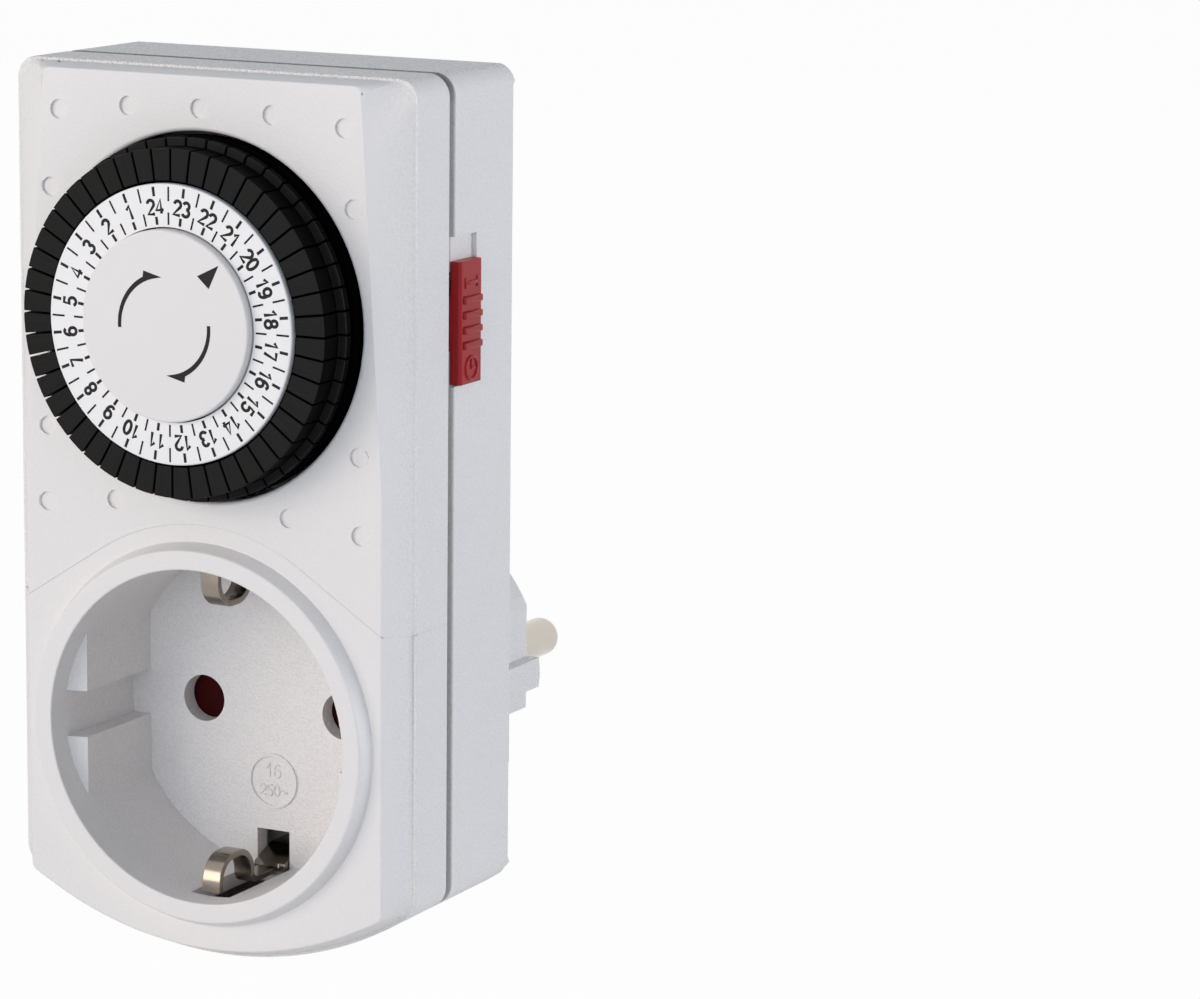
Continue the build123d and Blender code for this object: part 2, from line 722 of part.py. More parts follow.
# ================================================================ casing screws
# Six pan head screws driven from behind, sunk in the sleeves of the rear housing.
with BuildPart() as casing_screws:
    with BuildSketch(plane_at(screw_seat_y)):
        with Locations(*screw_spots_upper, *screw_spots_lower):
            Circle(screw_r)
    extrude(amount=screw_seat_y - seam_y + screw_bite - screw_head_gap)
    with BuildSketch(plane_at(screw_seat_y + screw_head_t)):
        with Locations(*screw_spots_upper, *screw_spots_lower):
            Circle(screw_head_r - screw_head_gap)
            RectangleRounded(2 * screw_r, screw_head_gap * 2, screw_head_gap / 2, mode=Mode.SUBTRACT)
    extrude(amount=screw_head_t / 2)
    with BuildSketch(plane_at(screw_seat_y + screw_head_t / 2)):
        with Locations(*screw_spots_upper, *screw_spots_lower):
            Circle(screw_head_r - screw_head_gap)
    extrude(amount=screw_head_t / 2)
write(casing_screws.part, "casing_screws")


# ================================================================ plug pins and mains contacts
# Solid nickelled brass pins, riveted behind the plug face to brass strips.
def pin_profile():
    """One pin about the origin, running into the wall, with its shoulder and rivet tail."""
    with BuildPart() as pin:
        with BuildSketch(plane_at(pin_length)):
            Circle(pin_r)
        extrude(amount=pin_length)
        fillet(pin.edges().sort_by(Axis.Y)[-1], pin_tip_round)
        with BuildSketch(plane_at(0)):
            Circle(pin_neck_r)
        extrude(amount=plug_face_t)
        with BuildSketch(plane_at(-plug_face_t)):
            Circle(pin_shoulder_r)
        extrude(amount=pin_shoulder_t)
        with BuildSketch(plane_at(-plug_face_t - pin_shoulder_t)):
            Circle(pin_tail_r)
        extrude(amount=sheet_t + rivet_head_t)
    return pin.part


with BuildPart() as plug_pin_neutral:
    with Locations((-pin_pitch / 2, 0, 0)):
        add(pin_profile())
write(plug_pin_neutral.part, "plug_pin_neutral")

with BuildPart() as plug_pin_live:
    with Locations((pin_pitch / 2, 0, 0)):
        add(pin_profile())
write(plug_pin_live.part, "plug_pin_live")

strip_back_y = -plug_face_t - pin_shoulder_t


def jaw(x):
    """Spring jaw about one pin axis: two leaves joined by a web above the pin."""
    jaw_middle_y = (jaw_front_y + jaw_back_y) / 2
    for side in (1, -1):
        with Locations((x + side * (leaf_in + sheet_t / 2), jaw_middle_y, 0)):
            Box(sheet_t, jaw_length, jaw_h)
    with Locations((x, jaw_middle_y, (jaw_h + sheet_t) / 2)):
        Box(2 * leaf_out, jaw_length, sheet_t)


def strip(low, high):
    """Brass strip as a block between two opposite corners."""
    middle = [(a + b) / 2 for a, b in zip(low, high)]
    with Locations(tuple(middle)):
        Box(*[abs(b - a) for a, b in zip(low, high)])


def riveted_eye(x):
    """Plate with the hole for a pin's rivet tail, just behind the pin's shoulder."""
    with BuildSketch(plane_at(strip_back_y)) as eye:
        with Locations((x, 0)):
            Circle(pin_shoulder_r)
            Circle(pin_tail_r, mode=Mode.SUBTRACT)
    extrude(eye.sketch, amount=sheet_t)


# The neutral side is one strip: the jaw of the socket, its run back and the eye on the pin.
web_top = jaw_h / 2 + sheet_t
with BuildPart() as neutral_busbar:
    jaw(-pin_pitch / 2)
    strip((-pin_pitch / 2 - strip_w / 2, jaw_back_y, jaw_h / 2),
          (-pin_pitch / 2 + strip_w / 2, strip_back_y, web_top))
    strip((-pin_pitch / 2 - strip_w / 2, strip_back_y - sheet_t, pin_tail_r + jaw_gap),
          (-pin_pitch / 2 + strip_w / 2, strip_back_y, web_top))
    riveted_eye(-pin_pitch / 2)
write(neutral_busbar.part, "neutral_busbar")

# The live jaw carries on as a strip up the rear wall to the switch.
link_left = pin_pitch / 2 + leaf_in
with BuildPart() as live_jaw:
    jaw(pin_pitch / 2)
    strip((link_left, jaw_front_y, jaw_h / 2), (link_left + sheet_t, inner_rear_y - strip_slack, link_z))
    strip((link_left, leaf_y - pocket_fit, link_z - sheet_t),
          (switch_x + strip_w / 2, inner_rear_y - strip_slack, link_z))
write(live_jaw.part, "live_jaw")

# The live pin's strip runs over the jaws and up the rear wall to the fixed contact.
bus_y = inner_rear_y - pocket_fit
with BuildPart() as live_busbar:
    riveted_eye(pin_pitch / 2)
    strip((bus_left, strip_back_y - sheet_t, pin_tail_r + jaw_gap), (bus_right, strip_back_y, bus_top_z))
    strip((bus_left, bus_y - sheet_t, bus_top_z - sheet_t), (bus_right, strip_back_y, bus_top_z))
    strip((bus_left, bus_y - sheet_t, bus_top_z - sheet_t), (bus_right, bus_y, bus_z))
    strip((bus_left, fixed_strip_y, bus_z - sheet_t), (switch_x + strip_w / 2, bus_y, bus_z))
write(live_busbar.part, "live_busbar")


# ================================================================ earth strips
def earth_strip(side, reach):
    """Sprung clip bent in an arch inside the recess, with its strip to the plug's own contact."""
    front_y = rim_y + clip_front
    back_y = front_y + clip_span
    arch_z = recess_r - reach + sheet_t / 2
    run_z = recess_r - clip_run_in
    meet_z = (arch_z + clip_arch_r + run_z - clip_bend_r) / 2
    with BuildPart() as earth:
        with BuildSketch(Plane.YZ.offset(-earth_w / 2)):
            with BuildLine():
                FilletPolyline((front_y, side * (recess_r - clip_lip_in)), (front_y, side * arch_z),
                               (back_y, side * arch_z), (back_y, side * meet_z), radius=clip_arch_r)
                FilletPolyline((back_y, side * meet_z), (back_y, side * run_z),
                               (floor_y - clip_run_end, side * run_z),
                               (floor_back_y + clip_slope_end, side * earth_z),
                               (earth_bow_y - earth_bow_half, side * earth_z),
                               (earth_bow_y, side * (earth_z + earth_bow)),
                               (earth_bow_y + earth_bow_half, side * earth_z),
                               (-earth_strip_end, side * earth_z), radius=clip_bend_r)
            trace(line_width=sheet_t)
        extrude(amount=earth_w)
        with BuildSketch(plane_at(floor_y - clip_shoulder)):
            Rectangle(2 * earth_w, 2 * cup_r)
            Rectangle(clip_w, 2 * cup_r, mode=Mode.SUBTRACT)
        extrude(amount=recess_depth - clip_shoulder, mode=Mode.SUBTRACT)
    return earth.part


write(earth_strip(1, clip_reach_top), "earth_strip_upper")
write(earth_strip(-1, clip_reach_low), "earth_strip_lower")

# ================================================================ contact holder and shutter
# Moulded plate behind the recess floor: it locates the jaws and backs the sliding shutter.
with BuildPart() as contact_holder:
    with BuildSketch(plane_at(contact_plate_back_y)):
        with Locations((0, (carrier_plate_high + carrier_plate_low) / 2)):
            Rectangle(2 * carrier_plate_half, carrier_plate_high - carrier_plate_low)
        with Locations((-pin_pitch / 2, 0), (pin_pitch / 2, 0)):
            Circle(pin_hole_r, mode=Mode.SUBTRACT)
    extrude(amount=carrier_plate_t)
    strip((-spring_seat_w / 2, floor_back_y + shutter_fit, carrier_plate_high - spring_seat_t),
          (spring_seat_w / 2, contact_plate_y, carrier_plate_high))
    with BuildSketch(plane_at(inner_rear_y - pocket_fit)):
        for side in (1, -1):
            with Locations((side * pin_pitch / 2, 0)):
                for edge in (1, -1):
                    with Locations((0, edge * (web_top + pocket_fit + pocket_wall / 2))):
                        Rectangle(2 * (leaf_in - pocket_fit), pocket_wall)
    extrude(amount=inner_rear_y - pocket_fit - contact_plate_back_y)
write(contact_holder.part, "contact_holder")

# Dark red shutter plate: its two holes lie below the pin holes until both pins lift it.
with BuildPart() as shutter:
    with BuildSketch(plane_at(shutter_back_y)):
        with Locations((0, (shutter_low + shutter_high) / 2)):
            Rectangle(2 * shutter_half_w, shutter_high - shutter_low)
        with Locations((-pin_pitch / 2, -shutter_travel), (pin_pitch / 2, -shutter_travel)):
            Circle(pin_hole_r, mode=Mode.SUBTRACT)
    extrude(amount=shutter_t)
write(shutter.part, "shutter")

# Small wire spring that holds the shutter down.
spring_y = (shutter_front_y + shutter_back_y) / 2
spring_top = carrier_plate_high - spring_seat_t - spring_wire_r
spring_low = shutter_high + spring_wire_r
spring_length = spring_top - spring_low
with BuildPart() as shutter_spring:
    with BuildLine(Plane.XY.offset(spring_low)) as coil_path:
        Helix(spring_length / spring_turns, spring_length, spring_r, center=(0, spring_y, 0))
    with BuildSketch(Plane(coil_path.line @ 0, z_dir=coil_path.line % 0)):
        Circle(spring_wire_r)
    sweep(is_frenet=True)
write(shutter_spring.part, "shutter_spring")

# ================================================================ mechanism plate
# Moulded plate across the seam that carries the dial spindle, the clutch axle and the motor.
with BuildPart() as mechanism_plate:
    with BuildSketch(plane_at(plate_back_y)):
        with Locations(((plate_left + plate_right) / 2, (plate_top + plate_bottom) / 2)):
            Rectangle(plate_right - plate_left, plate_top - plate_bottom)
        with Locations(screw_spots_upper[0]):
            notch = 2 * (boss_r + plate_notch_gap)
            Rectangle(notch, notch, mode=Mode.SUBTRACT)
        with Locations((output_x, output_z)):
            Circle(output_shaft_r + gear_fit, mode=Mode.SUBTRACT)
        with Locations((clutch_x, clutch_z)):
            Circle(axle_r, mode=Mode.SUBTRACT)
        with Locations(*plate_post_spots):
            Circle(plate_screw_r + screw_hole_gap, mode=Mode.SUBTRACT)
    extrude(amount=plate_t)
write(mechanism_plate.part, "mechanism_plate")

with BuildPart() as plate_screws:
    with BuildSketch(plane_at(plate_back_y + plate_screw_length - screw_head_gap)):
        with Locations(*plate_post_spots):
            Circle(plate_screw_r)
    extrude(amount=plate_screw_length - screw_head_gap + plate_t)
    with BuildSketch(plane_at(plate_front_y)):
        with Locations(*plate_post_spots):
            Circle(plate_screw_head_r)
    extrude(amount=plate_screw_head_t)
write(plate_screws.part, "plate_screws")

# Fixed hollow spindle on which the dial turns; its flange is the dial's rear seat.
spindle_flange_y = dial_gear_back_y + gear_fit
with BuildPart() as dial_spindle:
    with BuildSketch(plane_at(plate_front_y)):
        with Locations((0, dial_z)):
            Circle(spindle_flange_r)
    extrude(amount=plate_front_y - spindle_flange_y)
    with BuildSketch(plane_at(spindle_flange_y)):
        with Locations((0, dial_z)):
            Circle(spindle_r)
    extrude(amount=spindle_flange_y - cap_back_y)
    with BuildSketch(plane_at(cap_back_y + cap_pin_length + cap_pin_fit)):
        with Locations((0, dial_z)):
            Circle(spindle_bore_r + cap_pin_fit)
    extrude(amount=cap_pin_length + cap_pin_fit, mode=Mode.SUBTRACT)
write(dial_spindle.part, "dial_spindle")

# Fixed cap with the pointer, pinned into the spindle; it keeps the dial from coming off.
with BuildPart() as dial_cap:
    with BuildSketch(plane_at(cap_back_y)):
        with Locations((0, dial_z)):
            Circle(cap_r)
    extrude(amount=cap_t)
    fillet(dial_cap.edges().sort_by(Axis.Y)[0], cap_edge_r)
    with BuildSketch(plane_at(cap_back_y + cap_pin_length)):
        with Locations((0, dial_z)):
            Circle(spindle_bore_r)
    extrude(amount=cap_pin_length)
write(dial_cap.part, "dial_cap")

# ================================================================ dial
# Black rotor of the dial: rim with 48 tail slots, raised hub for the scale, gear behind.
with BuildPart() as dial_carrier:
    with BuildSketch(Plane.YZ):
        with BuildLine():
            Polyline((scale_back_y, dial_z + spindle_r + spindle_fit), (scale_back_y, dial_z + scale_out_r),
                     (carrier_y, dial_z + scale_out_r), (carrier_y, dial_z + dial_r),
                     (carrier_back_y, dial_z + dial_r),
                     (carrier_back_y, dial_z + scale_out_r - carrier_web),
                     (scale_back_y + carrier_web, dial_z + scale_out_r - carrier_web),
                     (scale_back_y + carrier_web, dial_z + hub_r),
                     (dial_gear_back_y, dial_z + hub_r),
                     (dial_gear_back_y, dial_z + spindle_r + spindle_fit), close=True)
        make_face()
    revolve(axis=Axis((0, 0, dial_z), (0, 1, 0)))
    with BuildSketch(plane_at(dial_gear_back_y)):
        with Locations((0, dial_z)):
            add(gear_outline(dial_teeth, dial_module, clutch_angle))
            Circle(spindle_r + spindle_fit, mode=Mode.SUBTRACT)
    extrude(amount=dial_gear_t)
    with BuildSketch(plane_at(carrier_back_y)):
        with Locations((0, dial_z)):
            with PolarLocations((tail_in_r + tail_out_r) / 2, segment_count,
                                start_angle=180 / segment_count):
                Rectangle(tail_out_r - tail_in_r + 2 * tail_fit, tail_w + 2 * tail_fit)
    extrude(amount=carrier_t, mode=Mode.SUBTRACT)
write(dial_carrier.part, "dial_carrier")

# White scale ring, clipped on the front of the carrier.
with BuildPart() as dial_scale:
    with BuildSketch(plane_at(scale_back_y)):
        with Locations((0, dial_z)):
            Circle(scale_out_r)
            Circle(scale_in_r, mode=Mode.SUBTRACT)
    extrude(amount=scale_t)
write(dial_scale.part, "dial_scale")

# One half-hour segment at +X of the dial axis: face block, ledge and tail.
half_pitch = math.radians(180 / segment_count)
wedge_tip = segment_gap / 2 / math.sin(half_pitch)
wedge_rise = (2 * dial_r - wedge_tip) * math.tan(half_pitch)
with BuildPart() as segment:
    with BuildSketch(plane_at(segment_back_y)):
        Circle(dial_r)
        Circle(segment_in_r, mode=Mode.SUBTRACT)
        Polygon((wedge_tip, 0), (2 * dial_r, -wedge_rise), (2 * dial_r, wedge_rise), align=None,
                mode=Mode.INTERSECT)
    extrude(amount=segment_block_d)
    with BuildSketch(plane_at(ledge_y)):
        Circle(2 * dial_r)
        Circle(segment_face_r, mode=Mode.SUBTRACT)
    extrude(amount=segment_ledge_drop, mode=Mode.SUBTRACT)
    with BuildSketch(plane_at(tail_end_y)):
        with Locations(((tail_in_r + tail_out_r) / 2, 0)):
            Rectangle(tail_out_r - tail_in_r, tail_w)
    extrude(amount=tail_end_y - segment_back_y)

# Each node holds the two half-hour segments after one hour mark, and slides as one pair.
hour_step = 360 / hours
for hour in range(hours):
    name = f"segments_hour_{hour + 1:02d}"
    first = dial_rotation - hour_step * (hour + 1) - 90
    with BuildPart() as segments:
        for half in (0.25, 0.75):
            with Locations(Location((0, 0, dial_z), (0, first - half * hour_step, 0))):
                add(segment.part)
    write(segments.part, name)

# ================================================================ clutch gear and motor drive
# Wheel and pinion moulded in one, with a slipping hub, on a fixed axle.
with BuildPart() as clutch_axle:
    with BuildSketch(plane_at(plate_back_y)):
        with Locations((clutch_x, clutch_z)):
            Circle(axle_r)
    extrude(amount=plate_back_y - clutch_pinion_front_y + gear_fit)
    with BuildSketch(plane_at(clutch_pinion_front_y - gear_fit)):
        with Locations((clutch_x, clutch_z)):
            Circle(axle_head_r)
    extrude(amount=axle_head_t)
write(clutch_axle.part, "clutch_axle")

with BuildPart() as clutch_gear:
    with BuildSketch(plane_at(clutch_wheel_back_y)):
        with Locations((clutch_x, clutch_z)):
            add(gear_outline(clutch_wheel_teeth, motor_module, output_angle))
            Circle(axle_r + gear_fit, mode=Mode.SUBTRACT)
    extrude(amount=clutch_wheel_t)
    with BuildSketch(plane_at(clutch_wheel_front_y)):
        with Locations((clutch_x, clutch_z)):
            add(gear_outline(clutch_pinion_teeth, dial_module,
                             clutch_angle + 180 + 180 / clutch_pinion_teeth))
            Circle(axle_r + gear_fit, mode=Mode.SUBTRACT)
    extrude(amount=clutch_wheel_front_y - clutch_pinion_front_y)
write(clutch_gear.part, "clutch_gear")

with BuildPart() as output_pinion:
    with BuildSketch(plane_at(clutch_wheel_back_y + output_overlap)):
        with Locations((output_x, output_z)):
            add(gear_outline(output_teeth, motor_module, output_angle + 180 + 180 / output_teeth))
    extrude(amount=clutch_wheel_t + 2 * output_overlap)
    with BuildSketch(plane_at(gear_unit_back_y - motor_tin)):
        with Locations((output_x, output_z)):
            Circle(output_shaft_r)
    extrude(amount=gear_unit_back_y - motor_tin - clutch_wheel_back_y)
write(output_pinion.part, "output_pinion")

# Sealed synchronous motor: gear unit in front, coil and magnet rotor in the can behind.
with BuildPart() as motor_gear_unit:
    with BuildSketch(plane_at(gear_unit_back_y)):
        with Locations((motor_x, motor_z)):
            Circle(motor_r)
        with Locations((output_x, output_z)):
            Circle(output_shaft_r + gear_fit, mode=Mode.SUBTRACT)
    extrude(amount=gear_unit_t)
write(motor_gear_unit.part, "motor_gear_unit")

coil_back_y = motor_back_y - motor_tin
rotor_y = (gear_unit_back_y + coil_back_y) / 2
with BuildPart() as motor_can:
    with BuildSketch(plane_at(motor_back_y)):
        with Locations((motor_x, motor_z)):
            Circle(motor_r)
    extrude(amount=motor_back_y - gear_unit_back_y)
    with BuildSketch(plane_at(coil_back_y)):
        with Locations((motor_x, motor_z)):
            Circle(motor_r - motor_tin)
            Circle(rotor_hole_r, mode=Mode.SUBTRACT)
    extrude(amount=coil_back_y - gear_unit_back_y, mode=Mode.SUBTRACT)
    fillet(motor_can.edges().filter_by(GeomType.CIRCLE).group_by(Axis.Y)[-1], motor_tin)
write(motor_can.part, "motor_can")

with BuildPart() as motor_coil:
    with BuildSketch(plane_at(coil_back_y)):
        with Locations((motor_x, motor_z)):
            Circle(motor_r - motor_tin - coil_gap)
            Circle(coil_in_r, mode=Mode.SUBTRACT)
    extrude(amount=coil_t)
write(motor_coil.part, "motor_coil")

with BuildPart() as motor_rotor:
    with BuildSketch(plane_at(rotor_y + rotor_t / 2)):
        with Locations((motor_x, motor_z)):
            Circle(rotor_r)
            Circle(rotor_hole_r + rotor_fit, mode=Mode.SUBTRACT)
    extrude(amount=rotor_t)
write(motor_rotor.part, "motor_rotor")

# ================================================================ switch
# Moulded base on the rear wall: it grips both contact strips and the lever's pin.
base_right = inner_half - strip_slack
base_back_y = inner_rear_y - base_leg_d
ear_right = ear_left + ear_t
slot_half = strip_w / 2 + gear_fit
with BuildPart() as switch_base:
    strip((base_left, base_front_y, base_low), (base_right, base_back_y, base_high))
    strip((base_leg_left, base_back_y, base_low), (base_right, inner_rear_y, base_high))
    strip((ear_left, lever_y - lever_hub_r, base_high), (ear_right, leaf_y - pocket_fit, lever_z))
    with BuildSketch(Plane.YZ.offset(ear_left)):
        with Locations((lever_y, lever_z)):
            Circle(lever_hub_r)
    extrude(amount=ear_t)
    with BuildSketch(Plane.YZ.offset(ear_left)):
        with Locations((lever_y, lever_z)):
            Circle(lever_pin_r)
    extrude(amount=ear_t, mode=Mode.SUBTRACT)
    with BuildSketch(Plane.XY.offset(base_low)):
        for strip_y in (leaf_y, fixed_strip_y):
            with Locations((switch_x, strip_y + strip_t / 2)):
                Rectangle(2 * slot_half, strip_t + 2 * gear_fit)
    extrude(amount=base_high - base_low, mode=Mode.SUBTRACT)
write(switch_base.part, "switch_base")

# Lever that feels the pushed segments at the pointer and pushes the moving contact.
with BuildPart() as trip_lever:
    strip((arm_left, lever_y - arm_t / 2, lever_z), (arm_right, lever_y + arm_t / 2, arm_top))
    strip((arm_left, lever_pad_y, arm_top - pad_h), (arm_right, lever_y, arm_top))
    strip((arm_right, lever_y - arm_t / 2, lug_low),
          (switch_x + contact_r, leaf_y - pad_gap, lug_low + lug_h))
    with BuildSketch(Plane.YZ.offset(arm_left)):
        with Locations((lever_y, lever_z)):
            Circle(lever_hub_r)
    extrude(amount=ear_left - lever_side_gap - arm_left)
    with BuildSketch(Plane.YZ.offset(arm_left)):
        with Locations((lever_y, lever_z)):
            Circle(lever_pin_r + lever_pin_fit)
    extrude(amount=ear_left - arm_left, mode=Mode.SUBTRACT)
write(trip_lever.part, "trip_lever")

with BuildPart() as lever_pin:
    with BuildSketch(Plane.YZ.offset(arm_left)):
        with Locations((lever_y, lever_z)):
            Circle(lever_pin_r)
    extrude(amount=ear_right - arm_left)
write(lever_pin.part, "lever_pin")

# Moving contact: spring brass leaf with a silver button, bending just above the base.
with BuildPart() as contact_leaf:
    strip((switch_x - strip_w / 2, leaf_y, leaf_pivot_z),
          (switch_x + strip_w / 2, leaf_back_y, contact_z + contact_end))
    with BuildSketch(plane_at(leaf_back_y + contact_button_h)):
        with Locations((switch_x, contact_z)):
            Circle(contact_r)
    extrude(amount=contact_button_h)
write(contact_leaf.part, "contact_leaf")

with BuildPart() as leaf_terminal:
    strip((switch_x - strip_w / 2, leaf_y, link_z),
          (switch_x + strip_w / 2, leaf_back_y, leaf_pivot_z - leaf_root_gap))
write(leaf_terminal.part, "leaf_terminal")

with BuildPart() as fixed_contact:
    strip((switch_x - strip_w / 2, fixed_strip_y, bus_z),
          (switch_x + strip_w / 2, fixed_strip_y + strip_t, contact_z + contact_end))
    with BuildSketch(plane_at(fixed_strip_y)):
        with Locations((switch_x, contact_z)):
            Circle(contact_r)
    extrude(amount=fixed_button_h)
write(fixed_contact.part, "fixed_contact")

# ================================================================ override slider
# Red slider in the side slot, held by a neck and a flange behind the slot's floor; down is
# timer mode, up is always on.
slot_front_y = seam_y + slider_fit / 2
slider_back_y = slot_back_y - slider_fit
stem_back_y = seam_y + stem_d
flange_out = inner_half - slider_fit / 2
flange_in = flange_out - slider_flange_t
with BuildPart() as override_slider:
    strip((half_w - slot_pocket + slider_fit / 2, slot_front_y, slider_low),
          (half_w + slider_proud, slider_back_y, slider_low + slider_h))
    outer_edges = override_slider.edges().filter_by(Axis.Z).sort_by(Axis.X)[-2:]
    fillet(outer_edges, slider_edge_r)
    strip((flange_in, slot_front_y, stem_low), (half_w, stem_back_y, stem_high))
    strip((flange_in, slot_front_y, stem_low - slider_flange_over),
          (flange_out, stem_back_y + slider_flange_over, stem_high + slider_flange_over))
    strip((flange_in - tongue_l, slot_front_y, slider_middle - tongue_h / 2),
          (flange_in, slot_front_y + tongue_t, slider_middle + tongue_h / 2))
    with BuildSketch(Plane.YZ.offset(half_w + slider_proud)):
        with Locations(((slot_front_y + slider_back_y) / 2, slider_middle)):
            with GridLocations(1, slider_rib_pitch, 1, slider_rib_count):
                Rectangle(slider_back_y - slot_front_y - 2 * slider_edge_r, slider_rib_w)
    extrude(amount=slider_rib_h)
write(override_slider.part, "override_slider")
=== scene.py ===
import math

import bpy
from mathutils import Euler, Matrix, Vector


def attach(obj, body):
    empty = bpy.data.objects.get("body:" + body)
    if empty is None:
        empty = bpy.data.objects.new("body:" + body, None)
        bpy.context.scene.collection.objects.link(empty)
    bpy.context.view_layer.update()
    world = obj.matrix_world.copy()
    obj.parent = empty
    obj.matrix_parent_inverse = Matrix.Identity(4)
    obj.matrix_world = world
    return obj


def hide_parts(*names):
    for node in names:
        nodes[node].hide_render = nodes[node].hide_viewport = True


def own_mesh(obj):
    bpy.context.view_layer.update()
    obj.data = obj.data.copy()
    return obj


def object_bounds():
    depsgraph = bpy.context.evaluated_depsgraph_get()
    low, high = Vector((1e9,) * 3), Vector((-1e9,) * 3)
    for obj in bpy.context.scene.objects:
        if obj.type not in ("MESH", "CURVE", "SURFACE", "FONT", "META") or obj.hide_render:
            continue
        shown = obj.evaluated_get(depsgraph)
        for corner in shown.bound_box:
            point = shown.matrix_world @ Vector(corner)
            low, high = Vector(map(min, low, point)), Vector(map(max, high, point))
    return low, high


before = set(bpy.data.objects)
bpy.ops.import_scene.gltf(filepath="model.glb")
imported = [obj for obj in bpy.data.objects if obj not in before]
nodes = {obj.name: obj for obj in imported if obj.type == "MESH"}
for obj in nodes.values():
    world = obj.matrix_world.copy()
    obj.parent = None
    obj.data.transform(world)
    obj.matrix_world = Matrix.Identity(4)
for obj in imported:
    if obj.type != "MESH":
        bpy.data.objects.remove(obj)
cad_box = [list(corner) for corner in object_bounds()]
mm = 0.001

# ---------------------------------------------------------------- camera
# A long lens at the height of the dial, in front of the timer and to its right, so that the
# front, the side with the slider and a little of the top are seen.
image_width = 1200
focal_px = 4529.5
sensor_mm = 36.0
camera_place = Vector((268.6, -477.0, 125.2)) * mm
camera_azimuth = math.radians(26.904)
camera_elevation = math.radians(10.908)
camera_roll = math.radians(0.643)

bpy.ops.object.camera_add(location=camera_place)
camera = bpy.context.object
camera.name = "camera"
aim = Euler((math.pi / 2 - camera_elevation, 0, camera_azimuth)).to_matrix()
camera.rotation_euler = (aim @ Matrix.Rotation(camera_roll, 3, "Z")).to_euler()
camera.data.sensor_width = sensor_mm
camera.data.lens = focal_px / image_width * sensor_mm
camera.data.clip_start = 0.05
camera.data.clip_end = 20
bpy.context.scene.camera = camera
bpy.context.scene.view_settings.view_transform = "Standard"


# ---------------------------------------------------------------- floor and light
# A white table top in a white light tent, with three soft square lamps: a warm one at the left
# front, a broad cool one in front, and one at the right that grazes the side.
def colour(code):
    """sRGB hex code as linear RGBA."""
    channels = [int(code[i:i + 2], 16) / 255 for i in (1, 3, 5)]
    linear = [c / 12.92 if c <= 0.04045 else ((c + 0.055) / 1.055) ** 2.4 for c in channels]
    return (*linear, 1.0)


def add_node(tree, kind, inputs=None, **settings):
    """Adds a node; inputs gives, by socket name or number, a plain value or the socket it reads."""
    node = tree.nodes.new(kind)
    for name, value in settings.items():
        setattr(node, name, value)
    for socket, value in (inputs or {}).items():
        if isinstance(value, bpy.types.NodeSocket):
            tree.links.new(value, node.inputs[socket])
        else:
            node.inputs[socket].default_value = value
    return node


def empty_material(name):
    """New material with an empty node tree."""
    material = bpy.data.materials.new(name)
    material.use_nodes = True
    material.node_tree.nodes.clear()
    return material, material.node_tree


def seen_straight(tree):
    """1 for what the camera sees, also in a mirror or through glass, and 0 for what only lights."""
    path = add_node(tree, "ShaderNodeLightPath")
    seen = path.outputs["Is Camera Ray"]
    for ray in ("Is Glossy Ray", "Is Transmission Ray"):
        either = add_node(tree, "ShaderNodeMath", {0: seen, 1: path.outputs[ray]}, operation="MAXIMUM")
        seen = either.outputs[0]
    return seen


floor_gap = 0.05 * mm
floor_z = cad_box[0][2] - floor_gap
floor_size = 6.0
floor_white_share = 0.97
bpy.ops.mesh.primitive_plane_add(size=floor_size, location=(0, 0, floor_z))
floor = bpy.context.object
floor.name = "floor"

# Matt white laminate, which the camera, metal and plastic see as the white tent behind it.
floor_material, tree = empty_material("white_laminate_floor")
share = add_node(tree, "ShaderNodeMath", {0: seen_straight(tree), 1: floor_white_share}, operation="MULTIPLY")
matt = add_node(tree, "ShaderNodeBsdfDiffuse", {"Color": colour("#F4F4F3")})
white = add_node(tree, "ShaderNodeEmission", {"Color": (1, 1, 1, 1), "Strength": 1.0})
blend = add_node(tree, "ShaderNodeMixShader", {0: share.outputs[0], 1: matt.outputs[0], 2: white.outputs[0]})
add_node(tree, "ShaderNodeOutputMaterial", {"Surface": blend.outputs[0]})
floor.data.materials.append(floor_material)

world = bpy.data.worlds.new("white_tent")
bpy.context.scene.world = world
world.use_nodes = True
tree = world.node_tree
tree.nodes.clear()
tent = add_node(tree, "ShaderNodeBackground", {"Color": colour("#D2E0EE"), "Strength": 0.42})
backdrop = add_node(tree, "ShaderNodeBackground", {"Color": (1, 1, 1, 1), "Strength": 1.0})
blend = add_node(tree, "ShaderNodeMixShader",
                 {0: seen_straight(tree), 1: tent.outputs[0], 2: backdrop.outputs[0]})
add_node(tree, "ShaderNodeOutputWorld", {"Surface": blend.outputs[0]})

timer_middle = Vector((0, -20, 25)) * mm
lamps = [  # name, place in metres, size in metres, watts, colour
    ("key_lamp", Vector((-0.75, -1.15, 0.3)), 0.9, 9.2, "#FFF1E5"),
    ("fill_lamp", Vector((0.1, -1.5, 0.0)), 1.2, 12.0, "#ECF3FF"),
    ("side_lamp", Vector((1.25, 0.35, 0.05)), 0.8, 12.5, "#F8F8FF"),
]
for name, place, size, power, tint in lamps:
    bpy.ops.object.light_add(type="AREA", location=place)
    lamp = bpy.context.object
    lamp.name = name
    lamp.data.shape = "SQUARE"
    lamp.data.size = size
    lamp.data.energy = power
    lamp.data.color = colour(tint)[:3]
    lamp.rotation_euler = (place - timer_middle).to_track_quat("Z", "Y").to_euler()


